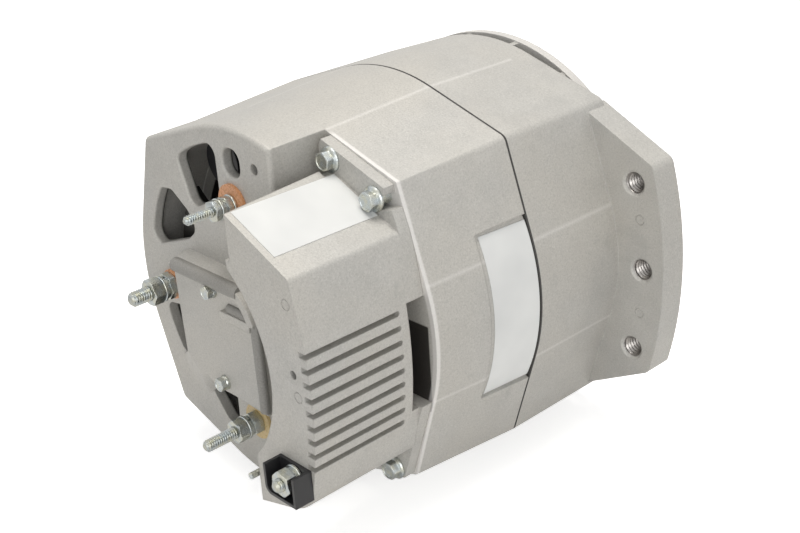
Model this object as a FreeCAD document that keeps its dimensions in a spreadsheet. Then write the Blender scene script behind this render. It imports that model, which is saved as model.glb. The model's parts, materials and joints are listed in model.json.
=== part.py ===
"""Heavy-duty alternator with a three-hole side mount and a finned regulator in a bay of its rear housing.

Frame: +Y runs along the shaft to the drive end, +Z is up and +X points to the mounting flange.
The origin lies on the shaft axis, in the plane where the pulley seats. Lengths are in millimetres.
"""
import FreeCAD, Part
import math
import os
import re
import Sketcher
from FreeCAD import Vector

doc = FreeCAD.newDocument("alternator")
sheet = doc.addObject("Spreadsheet::Sheet", "sizes")

# Driving dimensions: lengths in millimetres, angles in degrees.
SIZES = {
    "barrel_radius": 98,
    "barrel_arc": 18,
    "corner_rounding": 5,
    "seat_to_flange": 12,
    "flange_thickness": 15.8,
    "drive_end_depth": 57.6,
    "barrel_depth": 64.3,
    "barrel_draft": 4.3,
    "rear_depth": 32.3,
    "rear_draft": 1.2,
    "rear_wall": 6,
    "web_thickness": 6,
    "edge_rounding": 2.5,
    "seam_bevel": 0.5,
    "window_rounding": 5.5,
    "window_lip": 1.5,
    "chamber_radius": 84,
    "bay_offset": 28.4,
    "bay_wall": 6,
    "flange_edge_radius": 201,
    "flange_overhang": 27,
    "flange_half_height": 54.9,
    "mount_hole_inset": 18.4,
    "mount_hole_z": 44.1,
    "middle_hole_inset": 13.1,
    "mount_hole_radius": 5.36,
    "mount_hole_bevel": 1.2,
    "casting_front": 15.4,
    "rim_front": 4.6,
    "rim_rear": 9.5,
    "rim_width": 7,
    "shroud_radius": 91,
    "rib_width": 3,
    "rib_count": 18,
    "front_wall": 8,
    "front_wall_rear": 42,
    "front_boss_radius": 38,
    "front_boss_rear": 49,
    "front_boss_front": 30,
    "vent_inner_radius": 44,
    "vent_outer_radius": 76,
    "label_depth": 0.9,
    "label_length": 31.6,
    "label_arc": 51.5,
    "pad_height": 10.3,
    "pad_left": 46,
    "pad_right": 20.6,
    "pad_top": 21.5,
    "pad_bottom": 43.8,
    "ridge_height": 3,
    "ridge_width": 4.5,
    "ridge_low_z": 3,
    "ridge_slope": 3.2,
    "window_radius": 83.5,
    "stator_radius": 88,
    "stator_bore": 64.2,
    "stator_rear_seat": 26.6,
    "stator_front_seat": 15.4,
    "slot_count": 36,
    "slot_depth": 15,
    "slot_width": 5.6,
    "winding_overhang": 21,
    "winding_thickness": 15,
    "air_gap": 0.7,
    "pole_count": 6,
    "pole_length": 50,
    "pole_disc": 14,
    "finger_root": 40,
    "finger_tip": 17,
    "finger_thickness": 10,
    "coil_radius": 50,
    "bobbin_wall": 2,
    "rotor_core_radius": 26,
    "shaft_radius": 12.5,
    "fan_seat_radius": 11.5,
    "seat_radius": 11.11,
    "seat_length": 32,
    "thread_radius": 9.5,
    "thread_length": 20,
    "rear_bearing_radius": 20,
    "rear_bearing_bore": 8.5,
    "rear_bearing_width": 12,
    "front_bearing_radius": 31,
    "front_bearing_bore": 12.5,
    "front_bearing_width": 17,
    "front_bearing_front": 32,
    "race_thickness": 0.28,
    "rear_boss_radius": 27,
    "rear_boss_length": 10.3,
    "rear_boss_lip": 2,
    "retainer_thickness": 2.5,
    "retainer_radius": 37,
    "retainer_bolt_radius": 34.2,
    "ring_radius": 13,
    "ring_bore": 9.6,
    "ring_length": 7,
    "ring_setback": 5.2,
    "ring_pitch": 10,
    "tail_radius": 6.5,
    "fan_radius": 83,
    "fan_plate": 2.2,
    "fan_rear": 28,
    "fan_blade_count": 14,
    "fan_blade_height": 18,
    "fan_blade_thickness": 2,
    "fan_blade_curve": 42,
    "fan_hub_radius": 19,
    "fan_eye_radius": 44,
    "regulator_overhang": 34.8,
    "regulator_gap": 6.3,
    "regulator_relief": 4.1,
    "regulator_taper": 4.1,
    "regulator_taper_rise": 1.9,
    "regulator_arc": 196,
    "regulator_reach": 88.2,
    "regulator_core_radius": 60.8,
    "regulator_left_x": 41,
    "regulator_top_z": 72.8,
    "regulator_low_x": 66,
    "regulator_low_z": 61,
    "regulator_corner_z": 51.5,
    "regulator_bottom_x": 43.2,
    "regulator_bottom_z": 67.3,
    "fin_count": 9,
    "fin_pitch": 6.83,
    "fin_first_z": 21.6,
    "fin_gap": 2.7,
    "fin_depth": 4.6,
    "fin_length": 52.4,
    "window_top": 24.5,
    "window_bottom": 29.4,
    "regulator_hole_z": 10.3,
    "bolt_radius": 3.1,
    "bolt_flats": 8.4,
    "bolt_head": 4,
    "spacer_radius": 4.2,
    "bolt_flange_radius": 6,
    "bolt_flange": 1.5,
    "shield_wall": 1.5,
    "shield_depth": 10,
    "shield_left": 61.8,
    "shield_right": 82.8,
    "shield_top": 34.3,
    "shield_bottom": 49,
    "output_radius": 3.97,
    "output_tip": 26.5,
    "ground_radius": 3.18,
    "ground_tip": 33.5,
    "relay_radius": 2.41,
    "relay_tip": 27.5,
    "field_tip": 13.2,
    "output_flats": 12.7,
    "ground_flats": 11.1,
    "relay_flats": 9.5,
    "screw_flats": 6.35,
    "screw_flange": 3.8,
    "diode_radius": 6.4,
    "diode_height": 8,
    "heat_sink_thickness": 3,
    "heat_sink_inner": 46,
    "heat_sink_outer": 72,
    "capacitor_radius": 12.5,
    "capacitor_length": 18,
    "brush_width": 6,
    "brush_depth": 5,
    "brush_length": 14,
    "brush_clearance": 0.3,
    "through_bolt_radius": 3.1,
    "through_bolt_inset": 13.5,
    "through_bolt_depth": 36,
    "through_bolt_head_radius": 5.2,
    "through_bolt_head": 5,
    "through_bolt_sink": 6,
    "brush_screw_radius": 2,
    "bushing_wall": 2,
    "bolt_depth": 15,
    "flange_rounding": 5,
    "vent_count": 6,
    "retainer_screw_radius": 2.4,
    "label_edge_z": 54.4,
    "regulator_rounding": 3.5,
    "regulator_wall": 5,
    "potting_depth": 34,
    "potting_setback": 5,
    "pin_radius": 1.6,
    "insulator_flange": 1.6,
    "bushing_reach": 6,
    "output_flange_radius": 7.8,
    "ground_flange_radius": 9.5,
    "relay_flange_radius": 9.8,
    "stud_relief": 0.5,
    "stud_clearance": 0.4,
    "stud_bevel": 0.8,
    "jam_thickness": 4.4,
    "washer_thickness": 1.5,
    "lock_thickness": 1.8,
    "output_nut": 6.5,
    "ground_nut": 5.6,
    "relay_nut": 3.3,
    "stud_head": 4,
    "stud_head_overhang": 2.5,
    "holder_plate": 4,
    "spring_length": 10,
    "screw_head": 3.2,
    "ring_clearance": 0.1,
    "ball_play": 0.12,
    "fan_hub_front": -6,
}

# Where fasteners go, as (x, z) across the shaft.
STUDS = {"output": (-65, -3.2), "ground": (-2.8, -59.4), "relay": (-2.2, 55.8)}
BRUSH_SCREWS = ((-14.5, 12), (-13, -37.3))
REGULATOR_BOLTS = ((38.6, 78.8), (66.2, 66.7), (67.1, -69.1))
SPACED_BOLT = 1
FIELD_STUD = (73, -40.7)
REGULATOR_PIN = (40.9, -53.9)
# The order of pieces on each terminal, from the housing outward.
STACKS = {
    "output": ("jam", "lock", "washer", "nut"),
    "ground": ("nut", "lock", "washer", "nut"),
    "relay": ("washer", "nut", "lock", "washer", "nut"),
}
# Each heat sink's terminal, first and last angle, and the angles of its diodes.
HEAT_SINKS = (
    ("positive_heat_sink", "output", 138, 205, (145, 160, 198)),
    ("negative_heat_sink", "ground", 210, 278, (217, 232, 247)),
)
# First and last angle of the vents in the web, and the shoulder's vent from one x to another.
WEB_VENTS = ((140, 190), (202, 252))
SHOULDER_VENT = (48, 74)
MOUNT_HOLES = (("mount_hole_x", "mount_hole_z"), ("middle_hole_x", 0), ("mount_hole_x", "-mount_hole_z"))

for row, (alias, number) in enumerate(SIZES.items(), start=1):
    sheet.set(f"A{row}", alias)
    sheet.set(f"B{row}", str(number))
    sheet.setAlias(f"B{row}", alias)
doc.recompute()

# Planes across the shaft and other derived values, each written from the driving dimensions.
PLACES = {
    "corner_reach": "barrel_radius / cos(45 - barrel_arc)",
    "flange_reach": "barrel_radius + flange_overhang",
    "mount_hole_x": "flange_reach - mount_hole_inset",
    "middle_hole_x": "flange_reach - middle_hole_inset",
    "through_bolt_circle": "corner_reach - through_bolt_inset",
    "flange_front": "-seat_to_flange",
    "flange_rear": "flange_front - flange_thickness",
    "parting": "flange_rear - drive_end_depth",
    "shoulder": "parting - barrel_depth",
    "rear_face": "shoulder - rear_depth",
    "rear_wall_front": "rear_face + rear_wall",
    "web_front": "shoulder + web_thickness",
    "pad_face": "rear_face - pad_height",
    "rear_radius": "barrel_radius - barrel_depth * tan(barrel_draft)",
    "rear_reach": "corner_reach * rear_radius / barrel_radius",
    "regulator_rear": "rear_face - regulator_overhang",
    "regulator_front": "shoulder - regulator_gap",
    "stator_rear": "parting - stator_rear_seat",
    "stator_front": "parting + stator_front_seat",
    "rotor_radius": "stator_bore - air_gap",
    "regulator_center_x": "regulator_reach - regulator_arc",
    "rear_boss_end": "web_front + rear_boss_length",
    "rear_bearing_end": "rear_boss_end - rear_boss_lip",
    "pole_middle": "(stator_rear + stator_front) / 2",
    "heat_sink_rear": "rear_wall_front + bushing_reach",
    "stud_inner_end": "heat_sink_rear + heat_sink_thickness + stud_head",
    "inner_ring_level": "shoulder - ring_setback",
    "outer_ring_level": "inner_ring_level - ring_pitch",
    "shaft_tail": "outer_ring_level - ring_length / 2 - 3",
    "holder_front": "shoulder - ring_setback / 10",
}
NAMES = re.compile(r"[a-z][a-z_]*")


def cell(expression):
    """Write an expression over the sheet's cells from one over the names above."""
    def reference(match):
        name = match.group(0)
        if name in PLACES:
            return f"({cell(PLACES[name])})"
        return f"sizes.{name}" if name in SIZES else name
    return NAMES.sub(reference, str(expression))


def value(expression):
    """The present value of an expression, as a plain number."""
    result = sheet.evalExpression(cell(expression))
    return float(getattr(result, "Value", result))


def polar(radius, angle):
    """A point of a circle about the shaft, as two expressions."""
    return f"({radius}) * cos({angle})", f"({radius}) * sin({angle})"


def new_body(label):
    body = doc.addObject("PartDesign::Body", label)
    body.Label = label
    return body


def new_sketch(body, name, role="XZ_Plane", offset=None):
    """A sketch on one of the body's own planes, moved along that plane's normal."""
    sketch = body.newObject("Sketcher::SketchObject", f"{body.Label}_{name}")
    plane = next(item for item in body.Origin.OriginFeatures if item.Role == role)
    sketch.AttachmentSupport = [(plane, "")]
    sketch.MapMode = "FlatFace"
    if offset is not None:
        sketch.setExpression("AttachmentOffset.Base.z", cell(offset))
    return sketch


def across(body, name, level):
    """A sketch across the shaft at a level along it. Its normal points to the rear."""
    return new_sketch(body, name, "XZ_Plane", f"-({level})")


def bind(item, **expressions):
    for name, expression in expressions.items():
        item.setExpression(name, cell(expression))


def constrain(sketch, kind, geometry, position, expression):
    """Fix one coordinate of a point by an expression."""
    index = sketch.addConstraint(Sketcher.Constraint(kind, -1, 1, geometry, position, value(expression)))
    sketch.setExpression(f"Constraints[{index}]", cell(expression))


def fix_radius(sketch, geometry, expression):
    index = sketch.addConstraint(Sketcher.Constraint("Radius", geometry, value(expression)))
    sketch.setExpression(f"Constraints[{index}]", cell(expression))


def edge_between(start, end, radius, side):
    """A straight edge, or an arc whose centre lies to the left or right of the way from start to end."""
    if radius is None:
        return Part.LineSegment(start, end)
    turn = 1 if side == "left" else -1
    chord = end - start
    normal = Vector(-chord.y, chord.x, 0).normalize() * turn
    center = (start + end) / 2 + normal * math.sqrt(radius ** 2 - chord.Length ** 2 / 4)
    first, last = (start, end) if turn > 0 else (end, start)
    angles = [math.atan2(point.y - center.y, point.x - center.x) for point in (first, last)]
    return Part.ArcOfCircle(Part.Circle(center, Vector(0, 0, 1), radius), *angles)


def outline(sketch, points):
    """Draw a closed outline. A point is (x, y), or (x, y, radius, side) where an arc leaves it."""
    corners = [Vector(value(point[0]), value(point[1]), 0) for point in points]
    first = sketch.GeometryCount
    starts = []
    ends = []
    for number, point in enumerate(points):
        radius, side = point[2:] if len(point) == 4 else (None, "left")
        following = corners[(number + 1) % len(corners)]
        size = None if radius is None else value(radius)
        sketch.addGeometry(edge_between(corners[number], following, size, side), False)
        starts.append(1 if side == "left" else 2)
        ends.append(3 - starts[-1])
    for number, point in enumerate(points):
        after = (number + 1) % len(points)
        sketch.addConstraint(Sketcher.Constraint(
            "Coincident", first + number, ends[number], first + after, starts[after]))
        constrain(sketch, "DistanceX", first + number, starts[number], point[0])
        constrain(sketch, "DistanceY", first + number, starts[number], point[1])
        if len(point) == 4:
            fix_radius(sketch, first + number, point[2])
    return sketch


def circle(sketch, x, y, radius):
    center = Vector(value(x), value(y), 0)
    number = sketch.addGeometry(Part.Circle(center, Vector(0, 0, 1), value(radius)), False)
    constrain(sketch, "DistanceX", number, 3, x)
    constrain(sketch, "DistanceY", number, 3, y)
    fix_radius(sketch, number, radius)
    return sketch


def extrude(body, kind, sketch, length, toward="rear", draft=None):
    """Pad or pocket a sketch that lies across the shaft, toward the rear or the front."""
    feature = body.newObject(f"PartDesign::{kind}", f"{sketch.Name}_{kind.lower()}")
    feature.Profile = sketch
    bind(feature, Length=length)
    feature.Reversed = (kind == "Pad") == (toward == "front")
    if draft is not None:
        bind(feature, TaperAngle=draft)
    return feature


def pad(body, sketch, length, toward="rear", draft=None):
    return extrude(body, "Pad", sketch, length, toward, draft)


def pocket(body, sketch, length, toward="rear", draft=None):
    """Cut a sketch out of the body, and stop if nothing was cut."""
    doc.recompute()
    before = body.Shape.Volume
    feature = extrude(body, "Pocket", sketch, length, toward, draft)
    doc.recompute()
    if body.Shape.Volume > before - 0.01:
        raise RuntimeError(f"{feature.Name} cuts nothing")
    return feature


def turn(body, kind, name, points):
    """Revolve or groove an outline of (radius, level) points about the shaft."""
    sketch = outline(new_sketch(body, name, "XY_Plane"), points)
    feature = body.newObject(f"PartDesign::{kind}", f"{sketch.Name}_{kind.lower()}")
    feature.Profile = sketch
    feature.ReferenceAxis = (sketch, ["V_Axis"])
    feature.Angle = 360
    return feature


def polar_pattern(body, features, count, angle="360"):
    """Repeat features about the shaft."""
    pattern = body.newObject("PartDesign::PolarPattern", f"{features[-1].Name}_around")
    pattern.Originals = features
    plane = next(item for item in body.Origin.OriginFeatures if item.Role == "Y_Axis")
    pattern.Axis = (plane, [""])
    bind(pattern, Occurrences=count, Angle=angle)
    body.Tip = pattern
    return pattern


def dress_edges(body, kind, chosen, name):
    """Fillet or chamfer the edges of the body for which chosen(edge) is true."""
    doc.recompute()
    base = body.Tip
    names = [f"Edge{number}" for number, edge in enumerate(base.Shape.Edges, start=1) if chosen(edge)]
    if not names:
        raise RuntimeError(f"{body.Label}: no edge for {name}")
    feature = body.newObject(f"PartDesign::{kind}", f"{body.Label}_{name}")
    feature.Base = (base, names)
    return feature


def round_edges(body, radius, chosen, name):
    bind(dress_edges(body, "Fillet", chosen, name), Radius=radius)
    doc.recompute()


def bevel_edges(body, size, chosen, name):
    bind(dress_edges(body, "Chamfer", chosen, name), Size=size)
    doc.recompute()


def lengthwise(edge):
    """Whether an edge is straight and parallel to the shaft."""
    if edge.Curve.TypeId != "Part::GeomLine":
        return False
    ends = [vertex.Point for vertex in edge.Vertexes]
    return abs(ends[0].x - ends[1].x) < 0.5 and abs(ends[0].z - ends[1].z) < 0.5


def at_level(edge, level):
    """Whether an edge lies wholly in a plane across the shaft."""
    target = value(level)
    return abs(edge.BoundBox.YMin - target) < 0.01 and abs(edge.BoundBox.YMax - target) < 0.01


def housing_outline(sketch, radius, reach):
    """The housing's section: round flanks about the shaft, run out straight to four rounded corners."""
    points = []
    center = f"{reach} - corner_rounding / cos(45 - barrel_arc)"
    for quarter in range(4):
        middle = 90 * quarter
        across_x, across_z = polar(center, f"{middle} + 45")
        points.append((*polar(radius, f"{middle} - barrel_arc"), radius, "left"))
        points.append(polar(radius, f"{middle} + barrel_arc"))
        for angle in (f"{middle} + barrel_arc", f"{middle} + 90 - barrel_arc"):
            x, z = polar("corner_rounding", angle)
            points.append((f"{across_x} + {x}", f"{across_z} + {z}"))
        points[-2] += ("corner_rounding", "left")
    return outline(sketch, points)


def rear_windows(body):
    """The openings of the rear wall, between the rim and the brush pad."""
    sketch = across(body, "windows", "rear_wall_front")
    rim = "window_radius"
    side = "window_radius - 2"
    low_rim = "window_radius - 6.5"
    outline(sketch, [(*polar(rim, 99.5), rim, "left"), polar(rim, 124), (-37.8, 44.3), (-13.8, 56.6)])
    outline(sketch, [(*polar(side, 143), side, "left"), polar(side, 170),
                     (-46.5, 26.2), (-37.5, 33.5), (-43.5, 42), (-55.5, 50)])
    outline(sketch, [(5.1, 68.7), (5.1, 82.3), (-7.6, 82.3), (-7.6, 68.7)])
    outline(sketch, [(*polar(low_rim, 192), low_rim, "left"), polar(low_rim, 214),
                     ("1 - pad_left", -36), ("1 - pad_left", -12)])
    outline(sketch, [(-43, -47), (-41.5, -58), (-31.5, -70), (-21, -72), (-20, -47)])
    pocket(body, sketch, "rear_wall")
    level = value("rear_face")

    def corner(edge):
        middle = edge.CenterOfMass
        inside = math.hypot(middle.x, middle.z) < value("window_radius") + 0.5 and middle.x < 10
        return lengthwise(edge) and inside and edge.BoundBox.YMin < level + 0.1
    round_edges(body, "window_rounding", corner, "window_corners")

    def lip(edge):
        middle = edge.CenterOfMass
        inside = math.hypot(middle.x, middle.z) < value(rim) + 1
        return inside and at_level(edge, "rear_face") and middle.z > value("pad_top")
    round_edges(body, "window_lip", lip, "window_lips")
    pocket(body, circle(across(body, "spare_hole", "rear_wall_front"), 16.7, 76.5, 2.65), "rear_wall")


def brush_pad(body):
    """The raised pad over the slip rings, its ridges and the ramp that blends it into the rim."""
    hub = "pad_right"
    top = "pad_top"
    plate = [("-pad_left", top), ("1.5 - pad_left", -31), (-22, "1 - pad_bottom"),
             (-6.5, "1.3 - pad_bottom"), ("pad_right - 1", "-pad_bottom"),
             (*polar(hub, 8), hub, "left"), polar(hub, 88)]
    pad(body, outline(across(body, "brush_pad", "rear_face"), plate), "pad_height")
    inner = f"{hub} - ridge_width"
    ridge = [("-pad_left", top), ("-pad_left", f"{top} - ridge_width"),
             (*polar(inner, 100), inner, "right"), polar(inner, 12),
             (*polar(hub, 12), hub, "left"), polar(hub, 88)]
    pad(body, outline(across(body, "ridge", "pad_face"), ridge), "ridge_height")
    crest = "pad_face - ridge_height - 1"
    slope = outline(new_sketch(body, "ridge_slope", "YZ_Plane", "-pad_left - 1"), [
        ("rear_face - 2", f"{top} + 1"), (crest, f"{top} + 1"), (crest, f"{top} - ridge_slope - 0.4")])
    pocket(body, slope, "pad_left + pad_right", toward="rear")
    under = "ridge_low_z - ridge_width / 2"
    over = "ridge_low_z + ridge_width / 2"
    low = outline(across(body, "low_ridge", "pad_face"), [
        (17, under), (17, over), (-5, over, "ridge_width / 2 + 0.01", "left"), (-5, under)])
    pad(body, low, "ridge_height")
    foot = outline(across(body, "ramp_foot", "rear_face"),
                   [("2 - pad_left", -28), (-66, -44), (-60, -58), (-46, -62), (-24, "3 - pad_bottom")])
    summit = outline(across(body, "ramp_crest", "pad_face"), [
        ("3 - pad_left", -27), (-44.5, -31.5), (-42, -34), (-36, -38.5), (-23, "4 - pad_bottom")])
    doc.recompute()
    ramp = body.newObject("PartDesign::AdditiveLoft", "rear_housing_ramp")
    ramp.Profile = foot
    ramp.Sections = [summit]
    ramp.Ruled = True
    doc.recompute()
    screws = across(body, "brush_screw_holes", "rear_wall_front")
    for x, z in BRUSH_SCREWS:
        circle(screws, x, z, "brush_screw_radius")
    pocket(body, screws, "rear_wall + pad_height")


def kidney(sketch, inner, outer, first, last):
    """An opening between two radii and two angles about the shaft."""
    return outline(sketch, [(*polar(outer, first), outer, "left"), polar(outer, last),
                            (*polar(inner, last), inner, "right"), polar(inner, first)])


def rear_housing():
    """Rear casting: drafted barrel, rear section with the regulator's bay, windows and brush pad."""
    body = new_body("rear_housing")
    pad(body, housing_outline(across(body, "barrel", "parting"), "barrel_radius", "corner_reach"),
        "barrel_depth", draft="-barrel_draft")
    bevel_edges(body, "seam_bevel", lambda edge: at_level(edge, "parting"), "seam")
    pad(body, housing_outline(across(body, "rear_section", "shoulder"), "rear_radius", "rear_reach"),
        "rear_depth", draft="-rear_draft")
    far = "barrel_radius * 1.2"
    bay = outline(across(body, "bay", "shoulder"),
                  [("bay_offset", f"-{far}"), (far, f"-{far}"), (far, far), ("bay_offset", far)])
    pocket(body, bay, "rear_depth")
    round_edges(body, "edge_rounding", lambda edge: at_level(edge, "rear_face"), "rear_rim")
    turn(body, "Groove", "cavity", [
        (0, "parting"), ("stator_radius", "parting"), ("stator_radius", "stator_rear"),
        ("chamber_radius", "stator_rear"), ("chamber_radius", "web_front"),
        ("rear_boss_radius", "web_front"), ("rear_boss_radius", "rear_boss_end"), (0, "rear_boss_end")])
    room = "chamber_radius + 1"
    flat = "bay_offset - bay_wall"
    reach = f"sqrt(({room})^2 - ({flat})^2)"
    rear_room = outline(across(body, "rear_room", "shoulder"), [
        (flat, reach, room, "left"), (f"-({room})", 0, room, "left"), (flat, f"-{reach}")])
    pocket(body, rear_room, "rear_depth - rear_wall")
    rear_windows(body)
    brush_pad(body)
    vents = across(body, "web_vents", "web_front")
    for first, last in WEB_VENTS:
        kidney(vents, "rear_boss_radius + 8", "chamber_radius - 6", first, last)
    near, far = SHOULDER_VENT
    outline(vents, [(near, "-window_bottom"), (far, "-window_bottom"), (far, "window_top"), (near, "window_top")])
    pocket(body, vents, "web_thickness")
    seat = circle(across(body, "bearing_seat", "rear_boss_end"), 0, 0, "rear_bearing_radius")
    pocket(body, seat, "rear_boss_end - rear_bearing_end + rear_bearing_width")
    pocket(body, circle(across(body, "shaft_hole", "rear_boss_end"), 0, 0, "rear_bearing_radius - 4"),
           "rear_boss_end - shoulder")
    studs = across(body, "stud_holes", "rear_wall_front")
    for name, (x, z) in STUDS.items():
        circle(studs, x, z, f"{name}_radius + bushing_wall")
    pocket(body, studs, "rear_wall")
    bolts = across(body, "through_bolt_holes", "parting")
    for quarter in range(4):
        circle(bolts, *polar("through_bolt_circle", 90 * quarter + 45), "through_bolt_radius")
    pocket(body, bolts, "through_bolt_depth")
    threads = across(body, "regulator_bolt_holes", "shoulder")
    for x, z in REGULATOR_BOLTS:
        circle(threads, x, z, "bolt_radius")
    pocket(body, threads, "bolt_depth", toward="front")
    recess = turn(body, "Groove", "label_recess", [
        ("barrel_radius - label_depth", "parting"), ("barrel_radius + 9", "parting"),
        ("barrel_radius + 9", "parting - label_length"),
        ("barrel_radius - label_depth - label_length * tan(barrel_draft)", "parting - label_length")])
    bind(recess, Angle="label_arc")
    recess.Midplane = True
    return body


def drive_end_housing():
    """Front casting: barrel, three-hole flange, bearing wall with vents, fan shroud with ribs and rim."""
    body = new_body("drive_end_housing")
    pad(body, housing_outline(across(body, "barrel", "parting"), "barrel_radius", "corner_reach"),
        "-parting - casting_front", toward="front")
    bevel_edges(body, "seam_bevel", lambda edge: at_level(edge, "parting"), "seam")
    corner = "(corner_reach - corner_rounding / 2) * cos(45)"
    edge_x = "flange_reach - flange_edge_radius + sqrt(flange_edge_radius^2 - flange_half_height^2)"
    flange = outline(across(body, "flange", "flange_rear"), [
        (60, 60), (60, -60), (corner, f"-{corner}"),
        (edge_x, "-flange_half_height", "flange_edge_radius", "left"),
        (edge_x, "flange_half_height"), (corner, corner)])
    pad(body, flange, "flange_thickness", toward="front")
    reach = value(edge_x)
    round_edges(body, "flange_rounding", lambda edge: lengthwise(edge) and edge.CenterOfMass.x > reach - 1,
                "flange_corners")
    inner = "shroud_radius - rim_width"
    rib = outline(across(body, "rib", "-casting_front"), [
        (inner, "-rib_width / 2"), ("barrel_radius - 1", "-rib_width / 2"),
        ("barrel_radius - 1", "rib_width / 2"), (inner, "rib_width / 2")])
    first = pad(body, rib, "casting_front - rim_rear + 1", toward="front")
    polar_pattern(body, [first], "rib_count")
    ring = across(body, "rim", "-rim_rear")
    circle(ring, 0, 0, "barrel_radius")
    circle(ring, 0, 0, inner)
    pad(body, ring, "rim_rear - rim_front", toward="front")
    turn(body, "Groove", "cavity", [
        (0, "parting"), ("stator_radius", "parting"), ("stator_radius", "stator_front"),
        ("chamber_radius", "stator_front"), ("chamber_radius", "-front_wall_rear"),
        ("front_boss_radius", "-front_wall_rear"), ("front_boss_radius", "-front_boss_rear"),
        (0, "-front_boss_rear")])
    wall_front = "front_wall - front_wall_rear"
    turn(body, "Groove", "fan_room", [
        (0, "-front_boss_front"), ("front_boss_radius", "-front_boss_front"),
        ("front_boss_radius", wall_front), ("shroud_radius", wall_front), ("shroud_radius", 0), (0, 0)])
    vent = kidney(across(body, "vent", wall_front), "vent_inner_radius", "vent_outer_radius", -22, 22)
    polar_pattern(body, [pocket(body, vent, "front_wall")], "vent_count")
    seat = circle(across(body, "bearing_seat", "-front_boss_rear"), 0, 0, "front_bearing_radius")
    pocket(body, seat, "front_boss_rear - front_bearing_front", toward="front")
    pocket(body, circle(across(body, "shaft_hole", "-front_boss_rear"), 0, 0, "front_bearing_radius - 9"),
           "front_boss_rear - front_boss_front", toward="front")
    holes = across(body, "mount_holes", "flange_rear")
    for x, z in MOUNT_HOLES:
        circle(holes, x, z, "mount_hole_radius")
    pocket(body, holes, "flange_thickness", toward="front")
    mouth = value("mount_hole_radius")
    bevel_edges(body, "mount_hole_bevel", lambda edge: edge.Curve.TypeId == "Part::GeomCircle"
                and abs(edge.Curve.Radius - mouth) < 0.001, "mount_hole_mouths")
    bolts = across(body, "through_bolt_holes", "parting")
    heads = across(body, "through_bolt_heads", "-casting_front - through_bolt_sink")
    for quarter in range(4):
        place = polar("through_bolt_circle", 90 * quarter + 45)
        circle(bolts, *place, "through_bolt_radius")
        circle(heads, *place, "through_bolt_head_radius + 0.4")
    pocket(body, bolts, "-parting - casting_front", toward="front")
    pocket(body, heads, "through_bolt_sink + 12", toward="front")
    screws = across(body, "retainer_screw_holes", "-front_boss_rear")
    for number in range(3):
        circle(screws, *polar("retainer_bolt_radius", 120 * number), "retainer_screw_radius")
    pocket(body, screws, 10, toward="front")
    return body


def flank(depth, height):
    """A point of the regulator's bowed side, or of a surface sunk below it, at a height."""
    return f"regulator_center_x + sqrt((regulator_arc - {depth})^2 - ({height})^2)", height


def well(sketch):
    """The outline of the regulator's hollow, which its potting fills."""
    wall = "regulator_core_radius + regulator_wall"
    return outline(sketch, [polar(wall, -36), (73, -39), (76.5, 0), (73, 42), (55, 53),
                            (*polar(wall, 46), wall, "right")])


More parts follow.
